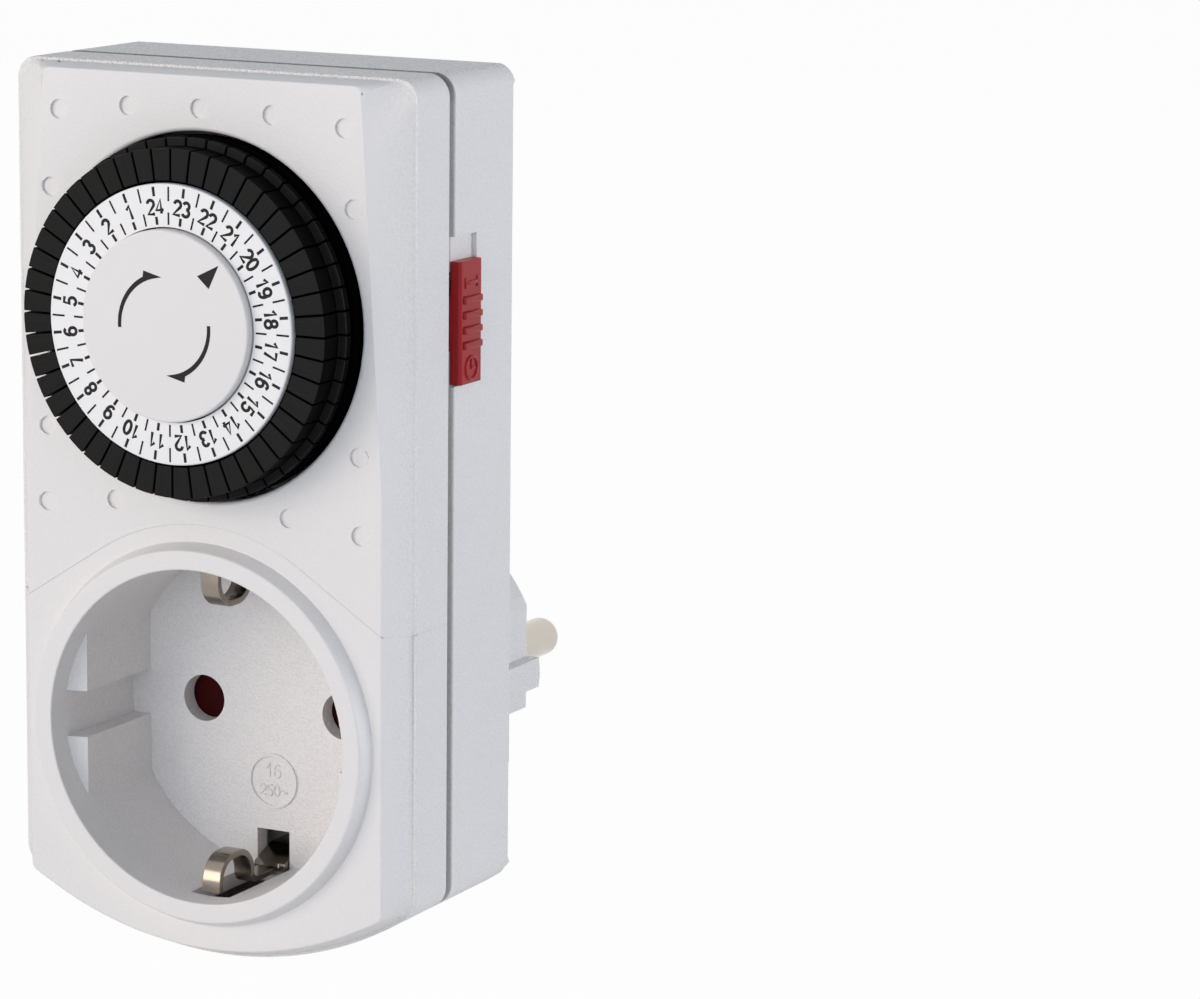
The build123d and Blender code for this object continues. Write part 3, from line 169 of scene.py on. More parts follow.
# ---------------------------------------------------------------- casing shells
# Three shells injection moulded in white ABS, with the fine even grain of a spark-eroded mould
# and softly rounded edges; the front two are screwed to the rear one from behind.
rim_y, face_y, crease_y, seam_y, rear_y = -49.5, -47.7, -44.5, -36.3, -22.0
casing_top, casing_half = 76.3, 26.35
dial_z, opening_r = 48.3, 21.05
rim_band = 1.2
# The lighter grey colours dust specks and the grain speckle, which is painted shade on the casing top; the
# darker grey is a painted shadow in the seam groove.
speck_and_shade_grey, groove_shadow_grey = colour("#8E8F8D"), colour("#4A4A49")
clouds_per_metre, specks_per_metre = 45.0, 170.0  # clouds of 22 mm, and specks 6 mm apart


def casing_wear(tree, place, grain, bump, tone):
    """Tone of the casing: the front is grained finest; grey speckle in the grain pits, strongest on the top
    as painted shade; a painted shadow in the seam groove.
    """
    axes = add_node(tree, "ShaderNodeSeparateXYZ", {0: place}).outputs
    ease = add_node(tree, "ShaderNodeMapRange",
                    {"Value": axes["Y"], "From Min": (face_y + 0.4) * mm, "From Max": crease_y * mm,
                     "To Min": 0.3, "To Max": 1.0})
    tree.links.new(ease.outputs[0], bump.inputs["Strength"])
    # Grey speckle in the grain pits: faint all over, and strong on the very top, where it is painted shade of
    # the top.
    speckle_and_top_shade = add_node(tree, "ShaderNodeMapRange",
                     {"Value": axes["Z"], "From Min": (casing_top - 0.5) * mm,
                      "From Max": (casing_top - 0.2) * mm, "To Min": 0.12, "To Max": 0.5})
    pits = add_node(tree, "ShaderNodeMapRange",
                    {"Value": grain.outputs[0], "From Min": 0.36, "From Max": 0.56,
                     "To Min": 1.0, "To Max": 0.0})
    amount = add_node(tree, "ShaderNodeMath", {0: speckle_and_top_shade.outputs[0], 1: pits.outputs[0]},
                      operation="MULTIPLY")
    amount = add_node(tree, "ShaderNodeMath", {0: amount.outputs[0], 1: ease.outputs[0]},
                      operation="MULTIPLY")
    speckled_and_shaded = add_node(tree, "ShaderNodeMix", {0: amount.outputs[0], 6: tone.outputs[2], 7: speck_and_shade_grey},
                      data_type="RGBA")
    sideways = add_node(tree, "ShaderNodeMath", {0: axes["X"]}, operation="ABSOLUTE")
    flank = add_node(tree, "ShaderNodeMath", {0: sideways.outputs[0], 1: (casing_half - rim_band) * mm},
                     operation="GREATER_THAN")
    crown = add_node(tree, "ShaderNodeMath", {0: axes["Z"], 1: (casing_top - rim_band) * mm},
                     operation="GREATER_THAN")
    rim = add_node(tree, "ShaderNodeMath", {0: flank.outputs[0], 1: crown.outputs[0]}, operation="MAXIMUM")
    # Painted shadow in the seam groove where it reaches the sides and the top, darker towards the top.
    groove = add_node(tree, "ShaderNodeMath", {0: axes["Y"], 1: (seam_y - 0.32) * mm, 2: 0.52 * mm},
                      operation="COMPARE")
    groove_shadow = add_node(tree, "ShaderNodeMath", {0: rim.outputs[0], 1: groove.outputs[0]}, operation="MULTIPLY")
    shade = add_node(tree, "ShaderNodeMapRange",
                     {"Value": axes["Z"], "From Min": (casing_top - 3.5) * mm,
                      "From Max": (casing_top - 0.3) * mm, "To Min": 0.3, "To Max": 0.8})
    groove_shadow = add_node(tree, "ShaderNodeMath", {0: groove_shadow.outputs[0], 1: shade.outputs[0]}, operation="MULTIPLY")
    return add_node(tree, "ShaderNodeMix", {0: groove_shadow.outputs[0], 6: speckled_and_shaded.outputs[2], 7: groove_shadow_grey},
                    data_type="RGBA")


def moulded_plastic(name, base, second, roughness, grain_mm, grain_depth_mm, speck_mm=0.0, gloss=0.5,
                    wear_and_shade=None):
    """Moulded plastic: two close tones in broad clouds, a fine mould grain and a few dust specks."""
    material, tree = empty_material(name)
    place = add_node(tree, "ShaderNodeTexCoord").outputs["Object"]
    cloud = add_node(tree, "ShaderNodeTexNoise", {"Vector": place, "Scale": clouds_per_metre, "Detail": 3.0})
    tone = add_node(tree, "ShaderNodeMix", {0: cloud.outputs[0], 6: colour(base), 7: colour(second)},
                    data_type="RGBA")
    if speck_mm:
        cells = add_node(tree, "ShaderNodeTexVoronoi", {"Vector": place, "Scale": specks_per_metre})
        speck = add_node(tree, "ShaderNodeMapRange",
                         {"Value": cells.outputs["Distance"], "From Min": 0.0,
                          "From Max": specks_per_metre * speck_mm * mm, "To Min": 0.55, "To Max": 0.0})
        tone = add_node(tree, "ShaderNodeMix", {0: speck.outputs[0], 6: tone.outputs[2], 7: speck_and_shade_grey},
                        data_type="RGBA")
    grain = add_node(tree, "ShaderNodeTexNoise",
                     {"Vector": place, "Scale": 1 / (grain_mm * mm), "Detail": 2.0, "Roughness": 0.6})
    sheen = add_node(tree, "ShaderNodeMapRange",
                     {"Value": grain.outputs[0], "From Min": 0.3, "From Max": 0.7,
                      "To Min": roughness - 0.06, "To Max": roughness + 0.06})
    bump = add_node(tree, "ShaderNodeBump",
                    {"Height": grain.outputs[0], "Strength": 1.0, "Distance": grain_depth_mm * mm})
    if wear_and_shade:
        tone = wear_and_shade(tree, place, grain, bump, tone)
    shader = add_node(tree, "ShaderNodeBsdfPrincipled",
                      {"Base Color": tone.outputs[2], "Roughness": sheen.outputs[0], "IOR": 1.54,
                       "Specular IOR Level": gloss, "Normal": bump.outputs[0]})
    add_node(tree, "ShaderNodeOutputMaterial", {"Surface": shader.outputs[0]})
    return material


def finish_as(piece, material):
    """Gives a piece one material in place of any it has."""
    piece.data.materials.clear()
    piece.data.materials.append(material)


def only(piece):
    """Makes a piece the one selected, active object."""
    bpy.ops.object.select_all(action="DESELECT")
    piece.select_set(True)
    bpy.context.view_layer.objects.active = piece


def merged_copy(name, end):
    """Copy of a CAD node, called name + end, whose doubled vertices are merged."""
    piece = bpy.data.objects.new(name + end, nodes[name].data.copy())
    bpy.context.scene.collection.objects.link(piece)
    only(piece)
    if piece.data.has_custom_normals:
        bpy.ops.mesh.customdata_custom_splitnormals_clear()
    bpy.ops.object.mode_set(mode="EDIT")
    bpy.ops.mesh.select_mode(type="FACE")
    bpy.ops.mesh.select_all(action="SELECT")
    bpy.ops.mesh.remove_doubles(threshold=0.002 * mm)
    bpy.ops.object.mode_set(mode="OBJECT")
    return piece


same_plane_tilt, edge_tilt, smooth_tilt = 0.3, 12, 34  # degrees between two faces


def rounded_copy(name, body, material, radius_at, segments=3, shift=None, dissolved=bool):
    """Merged copy of a CAD node whose edges are rounded: radius_at(middle, a, b, tilt) gives millimetres."""
    piece = merged_copy(name, "_moulded")
    mesh = piece.data
    for face in mesh.polygons:
        face.select = dissolved(face)
    bpy.ops.object.mode_set(mode="EDIT")
    bpy.ops.mesh.dissolve_limited(angle_limit=math.radians(same_plane_tilt))
    bpy.ops.object.mode_set(mode="OBJECT")
    if shift:
        for vertex in mesh.vertices:
            vertex.co += shift(vertex.co / mm) * mm
    normals = {}
    for face in mesh.polygons:
        for key in face.edge_keys:
            normals.setdefault(key, []).append(face.normal)
    radii = {}
    for edge in mesh.edges:
        sides = normals.get(edge.key, [])
        if len(sides) == 2:
            tilt = math.degrees(sides[0].angle(sides[1], 0))
            if tilt > edge_tilt:
                a, b = (mesh.vertices[i].co / mm for i in edge.vertices)
                radii[edge.index] = radius_at((a + b) / 2, a, b, tilt)
    widest = max(radii.values())
    weights = mesh.attributes.new("bevel_weight_edge", "FLOAT", "EDGE")
    for index, radius in radii.items():
        weights.data[index].value = radius / widest
    rounding = piece.modifiers.new("rounded_edges", "BEVEL")
    rounding.limit_method = "WEIGHT"
    rounding.width = widest * mm
    rounding.segments = segments
    rounding.use_clamp_overlap = False
    bpy.ops.object.modifier_apply(modifier="rounded_edges")
    bpy.ops.object.shade_smooth_by_angle(angle=math.radians(smooth_tilt))
    flats = piece.modifiers.new("flat_faces_stay_flat", "WEIGHTED_NORMAL")
    flats.keep_sharp = True
    bpy.ops.object.modifier_apply(modifier="flat_faces_stay_flat")
    finish_as(piece, material)
    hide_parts(name)
    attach(piece, body)
    return piece


# White ABS off a fine spark-eroded mould: even grain, soft sheen, a few dark specks of dust. The
# grain is drawn about three times as coarse as it is, so that it shows.
# The casing's tone adds grey speckle that is painted shade on the top, and a painted shadow in the seam
# groove.
white_abs = moulded_plastic("moulded_white_abs", "#EAE6E4", "#E5E2E0", 0.48, 0.28, 0.12, 0.1,
                            wear_and_shade=casing_wear)

opening_round, outline_round, crease_round, seam_round = 0.5, 0.22, 0.16, 0.18
back_round, plug_round = 0.7, 0.4
face_side, face_upper, face_lower = 20.4, 75.0, -20.0
corner_side, corner_upper = 19.9, 74.2
arc_z = -18.0
cup_r, cup_wall_r, plug_flat_r = 20.0, 22.0, 14.0
touching = 0.02


def all_at(y, a, b):
    """Whether an edge lies in the plane at depth y."""
    return abs(a.y - y) < touching and abs(b.y - y) < touching


def front_shell_radius(middle, a, b, tilt):
    """Rounding of the front shells: face outline, crease, dial opening, seam edge and collar rim."""
    if all_at(face_y, a, b):
        if abs(math.hypot(middle.x, middle.z - dial_z) - opening_r) < 0.1:
            return opening_round
        upright_side = abs(middle.x) > face_side and abs(a.x - b.x) < 0.1
        corner_arc = abs(middle.x) > corner_side and middle.z > corner_upper
        if upright_side or corner_arc or middle.z > face_upper or middle.z < face_lower:
            return outline_round
        return 0.0
    if all_at(crease_y, a, b):
        return crease_round
    if abs(a.y - b.y) < touching and middle.y > seam_y - 1.0 and max(abs(middle.x), middle.z) > cup_r:
        return seam_round
    if all_at(rim_y, a, b):
        return outline_round
    return 0.0


joint_r, joint_side_z = 24.5, 14.0
joint_tangent_x, joint_side_x = 13.18, 23.6
joint_across, joint_upwards = 0.538, 0.843
joint_closing, joint_slack = 0.042, 0.08


def on_joint(place):
    """Whether a point lies on the joint of the front shells: arc, two tangents and level side lines."""
    reach = math.hypot(place.x, place.z)
    if abs(place.x) > joint_side_x:
        reach = place.z + joint_r - joint_side_z
    elif abs(place.x) > joint_tangent_x:
        reach = joint_across * abs(place.x) + joint_upwards * place.z
    return abs(reach - joint_r) < joint_slack


def closing(up):
    """Shift that closes the joint to a hairline: the shell's joint face moves up by this."""
    return lambda place: Vector((0, 0, up if on_joint(place) else 0))


def outside(face):
    """Whether a face is on the outside of a front shell: not in the recess cup, nor the crease's ledge."""
    x, y, z = face.center / mm
    faces_back = face.normal.y >= 0.5
    in_cup = math.hypot(x, z) <= cup_wall_r and y >= face_y - 0.5
    on_ledge = abs(face.normal.y) > 0.9 and y > crease_y - 0.1
    return not (faces_back or in_cup or on_ledge)


for name, up in (("front_cover", -joint_closing), ("socket_cover", joint_closing)):
    rounded_copy(name, "root", white_abs, front_shell_radius, shift=closing(up), dissolved=outside)


def rear_radius(middle, a, b, tilt):
    """Rounding of the rear shell: seam edge, back edges and the end of the plug body."""
    if tilt < 30:
        return 0.0

    def near_outline(depth):
        return abs(middle.x) > casing_half - depth or middle.z > casing_top - depth or middle.z < arc_z

    if all_at(seam_y, a, b) and near_outline(0.9):
        return seam_round
    if all_at(rear_y, a, b) and near_outline(0.05):
        return back_round
    if all_at(0.0, a, b) and math.hypot(middle.x, middle.z) > plug_flat_r:
        return plug_round
    return 0.0


rounded_copy("rear_housing", "root", white_abs, rear_radius)

# ---------------------------------------------------------------- socket
# Behind the recess floor a dark red polyamide shutter slides on a grey carrier; the two earth
# clips are bent from nickel plated brass strip, and a rating is moulded in a ring on the floor.
stains_per_metre = 260.0  # stains of 4 mm


def metal(name, base, roughness, grain_mm, stretch, depth_mm):
    """Metal with fine drawn or rolled lines that run along the longest of the three stretches."""
    material, tree = empty_material(name)
    place = add_node(tree, "ShaderNodeTexCoord").outputs["Object"]
    along = add_node(tree, "ShaderNodeMapping", {"Vector": place, "Scale": tuple(1 / s for s in stretch)})
    lines = add_node(tree, "ShaderNodeTexNoise",
                     {"Vector": along.outputs[0], "Scale": 1 / (grain_mm * mm), "Detail": 3.0})
    stain = add_node(tree, "ShaderNodeTexNoise", {"Vector": place, "Scale": stains_per_metre, "Detail": 2.0})
    worn = add_node(tree, "ShaderNodeMapRange",
                    {"Value": stain.outputs[0], "From Min": 0.35, "From Max": 0.7,
                     "To Min": roughness - 0.05, "To Max": roughness + 0.08})
    dull = add_node(tree, "ShaderNodeHueSaturation",
                    {"Value": 0.86, "Saturation": 1.05, "Color": colour(base), "Fac": worn.outputs[0]})
    bump = add_node(tree, "ShaderNodeBump",
                    {"Height": lines.outputs[0], "Strength": 1.0, "Distance": depth_mm * mm})
    shader = add_node(tree, "ShaderNodeBsdfPrincipled",
                      {"Base Color": dull.outputs[0], "Metallic": 1.0, "Roughness": worn.outputs[0],
                       "Normal": bump.outputs[0]})
    add_node(tree, "ShaderNodeOutputMaterial", {"Surface": shader.outputs[0]})
    return material


# Bright nickel over rolled strip: a warm grey mirror, drawn out along the rolling direction.
nickel_strip = metal("nickel_plated_brass_strip", "#928A80", 0.2, 0.06, (1, 14, 1), 0.002)
strip_round = 0.14


def sheared_edge(middle, a, b, tilt):
    """Small burr-free rounding along the sheared edges of strip."""
    return strip_round if tilt > 60 else 0.0


for name in ("earth_strip_upper", "earth_strip_lower"):
    rounded_copy(name, "root", nickel_strip, sheared_edge, 2)

# Matt polyamides: almost without shine deep in the holes, and a plain even grey behind them.
dark_red_polyamide = moulded_plastic("moulded_dark_red_polyamide", "#3C090B", "#2E0709", 0.45, 0.2,
                                     0.006, gloss=0.04)
grey_polyamide = moulded_plastic("moulded_grey_polyamide", "#A9AAA6", "#9F9F9B", 0.5, 0.25, 0.008)
spring_steel = metal("drawn_spring_steel_wire", "#8E9092", 0.3, 0.04, (1, 1, 8), 0.001)
finish_as(nodes["shutter"], dark_red_polyamide)
finish_as(nodes["contact_holder"], grey_polyamide)

# The spring: a merged copy of the CAD node, shaded smooth and held by the root, with a mesh of its own.
round_tilt = 40
spring = merged_copy("shutter_spring", "_coiled")
bpy.ops.object.shade_smooth_by_angle(angle=math.radians(round_tilt))
finish_as(spring, spring_steel)
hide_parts("shutter_spring")
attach(spring, "root")
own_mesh(spring)

floor_y = -32.0
rating_z = -8.9
character_pitch = 1.28
drawn_width = 0.52


def bow(middle_x, middle_z, half_w, half_h, first, last):
    """Points of an elliptic arc from first to last degrees, counted from +x towards up."""
    steps = max(3, round(abs(last - first) / 15))
    turns = [math.radians(first + (last - first) * i / steps) for i in range(steps + 1)]
    return [(middle_x + half_w * math.cos(t), middle_z + half_h * math.sin(t)) for t in turns]


# Strokes of a narrow sans serif, one unit high about their own middle.
strokes = {
    "0": [bow(0, 0, 0.24, 0.5, 90, 450)],
    "1": [[(-0.17, 0.24), (0.07, 0.5), (0.07, -0.5)]],
    "2": [bow(0, 0.23, 0.24, 0.27, 175, -35) + [(-0.24, -0.5), (0.26, -0.5)]],
    "3": [bow(-0.01, 0.25, 0.22, 0.25, 160, -85), bow(-0.01, -0.24, 0.25, 0.26, 85, -160)],
    "4": [[(0.28, -0.24), (-0.28, -0.24), (0.1, 0.5), (0.1, -0.5)]],
    "5": [[(0.22, 0.5), (-0.16, 0.5), (-0.2, 0.02)] + bow(0, -0.2, 0.25, 0.3, 125, -155)],
    "6": [bow(0.02, 0, 0.26, 0.5, 50, 180), bow(0, -0.2, 0.24, 0.3, 0, 360)],
    "7": [[(-0.24, 0.5), (0.24, 0.5), (-0.06, -0.5)]],
    "8": [bow(0, 0.26, 0.2, 0.24, 0, 360), bow(0, -0.24, 0.24, 0.26, 0, 360)],
    "9": [bow(-0.02, 0, 0.26, 0.5, -130, 0), bow(0, 0.2, 0.24, 0.3, 0, 360)],
    "~": [bow(-0.16, 0, 0.16, 0.13, 180, 0) + bow(0.16, 0, 0.16, 0.13, 180, 360)],
}


def place_in_mesh(piece, matrix):
    """Moves the mesh itself, so that the object stays at the origin."""
    piece.matrix_world = matrix
    only(piece)
    bpy.ops.object.transform_apply(location=True, rotation=True, scale=True)


def numeral(text, height, width, stroke, thickness):
    """Text as flat strokes about the origin, facing +Z: rounded bars, swept along each stroke."""
    curve = bpy.data.curves.new(text, "CURVE")
    curve.dimensions = "3D"
    curve.bevel_depth = stroke / 2
    curve.bevel_resolution = 2
    curve.use_fill_caps = True
    for place, character in enumerate(text):
        middle_x = (place - (len(text) - 1) / 2) * width * character_pitch
        for points in strokes[character]:
            line = curve.splines.new("POLY")
            line.points.add(len(points) - 1)
            for point, (x, z) in zip(line.points, points):
                point.co = (middle_x + x * width / drawn_width, z * (height - stroke), 0, 1)
    piece = bpy.data.objects.new("numeral", curve)
    bpy.context.scene.collection.objects.link(piece)
    only(piece)
    bpy.ops.object.convert(target="MESH")
    place_in_mesh(piece, Matrix.Diagonal((mm, mm, thickness / stroke * mm, 1)))
    return piece


facing_front = Matrix.Rotation(math.pi / 2, 4, "X")
rating_stroke, rating_thickness = 0.26, 0.36
for number, (text, height, drop) in enumerate([("16", 1.8, 1.2), ("250~", 1.5, -1.2)]):
    mark = numeral(text, height, height / 2, rating_stroke, rating_thickness)
    mark.name = f"rating_mark_{number + 1}"
    place_in_mesh(mark, Matrix.Translation(Vector((0, floor_y, rating_z + drop)) * mm) @ facing_front)
    finish_as(mark, white_abs)
    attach(mark, "root")

# ---------------------------------------------------------------- dial segments and carrier
# Forty-eight push segments and the rotor that carries them, moulded in black ABS. Their faces and
# ledges are lightly grained, in streaks that run outwards from the axis; their walls are painted near black
# with almost no shine, as painted shade.
segment_face_y, ledge_y = -53.7, -50.4
segment_turn = math.radians(7.5)
segment_round, segment_widening, gap_reach = 0.12, 0.07, 0.3
grained_depth = 0.16 * mm
# At the rim the streaks are 0.2 mm wide and 1.8 mm long, coarser than they are, so that they show.
streak_scale, streaks_across, streaks_outward = 1.6, 60.0, 350.0
black_grain_per_metre = 4500.0  # grain of 0.22 mm
black_abs, tree = empty_material("moulded_black_abs")
place = add_node(tree, "ShaderNodeTexCoord").outputs["Object"]
centred = add_node(tree, "ShaderNodeVectorMath", {0: place, 1: (0, 0, dial_z * mm)}, operation="SUBTRACT")
polar = add_node(tree, "ShaderNodeSeparateXYZ", {0: centred.outputs[0]})
angle = add_node(tree, "ShaderNodeMath", {0: polar.outputs[0], 1: polar.outputs[2]}, operation="ARCTAN2")
reach = add_node(tree, "ShaderNodeVectorMath", {0: centred.outputs[0]}, operation="LENGTH")
spread = add_node(tree, "ShaderNodeMath", {0: angle.outputs[0], 1: streaks_across}, operation="MULTIPLY")
outward = add_node(tree, "ShaderNodeMath", {0: reach.outputs["Value"], 1: streaks_outward},
                   operation="MULTIPLY")
ray = add_node(tree, "ShaderNodeCombineXYZ",
               {0: spread.outputs[0], 1: outward.outputs[0], 2: polar.outputs[1]})
streak = add_node(tree, "ShaderNodeTexNoise",
                  {"Vector": ray.outputs[0], "Scale": streak_scale, "Detail": 5.0, "Roughness": 0.65})
streaked = add_node(tree, "ShaderNodeValToRGB", {0: streak.outputs[0]})
for stop, at, tint in zip(streaked.color_ramp.elements, (0.38, 0.66), ("#0A0A0A", "#141413")):
    stop.position = at
    stop.color = colour(tint)
from_face = add_node(tree, "ShaderNodeMath", {0: polar.outputs[1], 1: segment_face_y * mm, 2: grained_depth},
                     operation="COMPARE")
from_ledge = add_node(tree, "ShaderNodeMath", {0: polar.outputs[1], 1: ledge_y * mm, 2: grained_depth},
                      operation="COMPARE")
faces_not_shaded_walls = add_node(tree, "ShaderNodeMath", {0: from_face.outputs[0], 1: from_ledge.outputs[0]},
                   operation="MAXIMUM")
# Faces and ledges take the streaked black; the walls take near-black #030303 and little shine, as painted
# shade.
tone = add_node(tree, "ShaderNodeMix",
                {0: faces_not_shaded_walls.outputs[0], 6: colour("#030303"), 7: streaked.outputs[0]}, data_type="RGBA")
sheen = add_node(tree, "ShaderNodeMapRange", {"Value": faces_not_shaded_walls.outputs[0], "To Min": 0.02, "To Max": 0.12})
fine = add_node(tree, "ShaderNodeTexNoise", {"Vector": place, "Scale": black_grain_per_metre, "Detail": 2.0})
bump = add_node(tree, "ShaderNodeBump",
                {"Height": fine.outputs[0], "Strength": 1.0, "Distance": 0.004 * mm})
shader = add_node(tree, "ShaderNodeBsdfPrincipled",
                  {"Base Color": tone.outputs[2], "Roughness": 0.62, "IOR": 1.54,
                   "Specular IOR Level": sheen.outputs[0], "Normal": bump.outputs[0]})
add_node(tree, "ShaderNodeOutputMaterial", {"Surface": shader.outputs[0]})


def segment_radius(middle, a, b, tilt):
    """Segments have small even roundings on every edge in front of the carrier."""
    return segment_round if tilt > 40 and middle.y < rim_y else 0.0


def widened(place):
    """Shift that narrows the gaps between the segments, which lie at every segment_turn."""
    turn = math.atan2(place.x, place.z - dial_z)
    gap_turn = round(turn / segment_turn) * segment_turn
    across = math.hypot(place.x, place.z - dial_z) * math.sin(turn - gap_turn)
    if abs(across) > gap_reach:
        return Vector((0, 0, 0))
    towards_gap = math.copysign(segment_widening, -across)
    return Vector((math.cos(gap_turn), 0, -math.sin(gap_turn))) * towards_gap


for hour in range(1, 25):
    rounded_copy(f"segments_hour_{hour:02d}", f"segment_pair_{hour:02d}", black_abs, segment_radius, 2,
                 shift=widened)
finish_as(nodes["dial_carrier"], black_abs)

# ---------------------------------------------------------------- printed scale ring and cap
# Smooth white ring and light grey cap of ABS, pad printed in black: the hours run anticlockwise,
# and the pointer at the upper right of the fixed cap shows the time.
scale_y, cap_y = -54.1, -55.2
dial_middle = Vector((0, scale_y, dial_z))
ring_round, ring_rim_r = 0.22, 13.0
# ABS off a polished mould: even and faintly shiny, the cap a shade greyer and duller than the ring.
ring_white = moulded_plastic("smooth_white_abs", "#EFEDEC", "#EEECEB", 0.4, 0.5, 0.001)
cap_abs = moulded_plastic("smooth_light_grey_abs", "#E6E3E1", "#E2DFDD", 0.42, 0.3, 0.004)
# Pad print: a thin film of matt ink, a little uneven in its black.
ink_grain_per_metre = 5000.0  # grain of 0.2 mm
print_black, tree = empty_material("black_pad_print")
place = add_node(tree, "ShaderNodeTexCoord").outputs["Object"]
cover = add_node(tree, "ShaderNodeTexNoise", {"Vector": place, "Scale": ink_grain_per_metre, "Detail": 3.0})
tone = add_node(tree, "ShaderNodeMix",
                {0: cover.outputs[0], 6: colour("#0C0B0B"), 7: colour("#161414")}, data_type="RGBA")
shader = add_node(tree, "ShaderNodeBsdfPrincipled",
                  {"Base Color": tone.outputs[2], "Roughness": 0.6, "IOR": 1.5, "Specular IOR Level": 0.25})
add_node(tree, "ShaderNodeOutputMaterial", {"Surface": shader.outputs[0]})

finish_as(nodes["dial_spindle"], grey_polyamide)


def front_edge(middle, a, b, tilt):
    """Rounding of the ring's outer edge."""
    return ring_round if all_at(scale_y, a, b) and (a - dial_middle).length > ring_rim_r else 0.0


rounded_copy("dial_scale", "dial", ring_white, front_edge)
finish_as(nodes["dial_cap"], cap_abs)
ink_mm = 0.02
hour_turn = math.radians(15)
mark_turn = hour_turn / 2
digit_height, digit_width, digit_stroke, digits_r = 1.95, 0.9, 0.38, 13.25


def joined(pieces, name):
    """Joins pieces into one object."""
    bpy.ops.object.select_all(action="DESELECT")
    for piece in pieces:
        piece.select_set(True)
    bpy.context.view_layer.objects.active = pieces[0]
    bpy.ops.object.join()
    pieces[0].name = name
    return pieces[0]


def about_dial(turn, radius, depth):
    """Matrix that stands a flat piece on the dial: turn anticlockwise from the top, its top outwards."""
    return (Matrix.Translation(Vector((0, depth, dial_z)) * mm) @ Matrix.Rotation(-turn, 4, "Y")
            @ Matrix.Translation(Vector((0, 0, radius)) * mm) @ facing_front)


digits = []
for hour in range(1, 25):
    number = numeral(str(hour), digit_height, digit_width, digit_stroke, 2 * ink_mm)
    place_in_mesh(number, about_dial(mark_turn + hour * hour_turn, digits_r, scale_y))
    digits.append(number)
printed_hours = joined(digits, "printed_hours")

# Turn of the first tick, inner and outer radius, width: short thick ones at the hours, outside and
# inside the digits, and long thin ones between them.
tick_rows = [
    (mark_turn, 14.44, 15.5, 0.34),
    (mark_turn, 11.25, 12.15, 0.34),
    (mark_turn + hour_turn / 2, 13.89, 15.5, 0.22),
    (mark_turn + hour_turn / 2, 11.25, 12.63, 0.22),
]
ticks = []
for first_turn, low, high, width in tick_rows:
    bpy.ops.mesh.primitive_cube_add(size=1)
    tick = bpy.context.object
    shape = Matrix.Diagonal((width * mm, (high - low) * mm, 2 * ink_mm * mm, 1))
    place_in_mesh(tick, about_dial(first_turn, (low + high) / 2, scale_y) @ shape)
    only(tick)
    bpy.ops.object.mode_set(mode="EDIT")
    bpy.ops.mesh.select_all(action="SELECT")
    bpy.ops.mesh.spin(steps=24, dupli=True, angle=2 * math.pi, use_auto_merge=False,
                      center=(0, 0, dial_z * mm), axis=(0, 1, 0))
    bpy.ops.mesh.select_all(action="SELECT")
    bpy.ops.mesh.remove_doubles(threshold=0.005 * mm)
    bpy.ops.object.mode_set(mode="OBJECT")
    ticks.append(tick)
printed_ticks = joined(ticks, "printed_ticks")


def printed_shape(name, points):
    """Flat printed shape on the cap; points are millimetres right of and above the axis."""
    bpy.ops.mesh.primitive_circle_add(vertices=len(points), radius=1, fill_type="NGON")
    piece = bpy.context.object
    piece.name = name
    for vertex, (x, z) in zip(piece.data.vertices, points):
        vertex.co = Vector((x, cap_y - ink_mm, dial_z + z)) * mm
    only(piece)
    bpy.ops.object.mode_set(mode="EDIT")
    bpy.ops.mesh.select_all(action="SELECT")
    bpy.ops.mesh.extrude_region_move(TRANSFORM_OT_translate={"value": (0, 2 * ink_mm * mm, 0)})
    bpy.ops.mesh.select_all(action="SELECT")
    bpy.ops.mesh.normals_make_consistent(inside=False)
    bpy.ops.object.mode_set(mode="OBJECT")
    return piece


def on_cap(turn, radius):
    """Point of the cap, turn degrees anticlockwise from the top."""
    return (-radius * math.sin(math.radians(turn)), radius * math.cos(math.radians(turn)))


cap_marks = [printed_shape("pointer", [(7.15, 7.33), (4.37, 5.97), (5.86, 4.64)])]
# The outline of an arrow: its bow from tail to head, the barb and the tip, and back inside the bow.
for half_turn in (0, 180):
    sweep = [on_cap(half_turn + 95 - 4 * i, 6.05) for i in range(18)]
    head = [on_cap(half_turn + 23.5, 6.65), on_cap(half_turn + 3, 5.5)]
    back = [on_cap(half_turn + 11 + 4 * i, 5.44 + 0.009 * i) for i in range(22)]
    cap_marks.append(printed_shape("arrow", sweep + head + back))
printed_cap = joined(cap_marks, "printed_pointer_and_arrows")
for piece, body in [(printed_hours, "dial"), (printed_ticks, "dial"), (printed_cap, "root")]:
    finish_as(piece, print_black)
    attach(piece, body)

# ---------------------------------------------------------------- override slider
# Slider moulded in red ABS with four grip ribs; the raised bar stands for always on, and the
# raised clock face for timed.
slider_face_x = 27.25
rib_round, plate_round, mark_round = 0.22, 0.12, 0.07
# Red ABS off a smooth mould: a soft sheen that lights the round edges of the ribs.
red_abs = moulded_plastic("moulded_red_abs", "#A0181F", "#95151B", 0.34, 0.35, 0.006, gloss=0.22)


def slider_radius(middle, a, b, tilt):
    """The ribs are round, and so are the plate's outer edges."""
    if tilt < 40:
        return 0.0
    if middle.x > slider_face_x + 0.3:
        return rib_round
    return plate_round if middle.x > slider_face_x - 0.05 and abs(a.z - b.z) < 0.1 else 0.0


rounded_copy("override_slider", "slider", red_abs, slider_radius, 4)

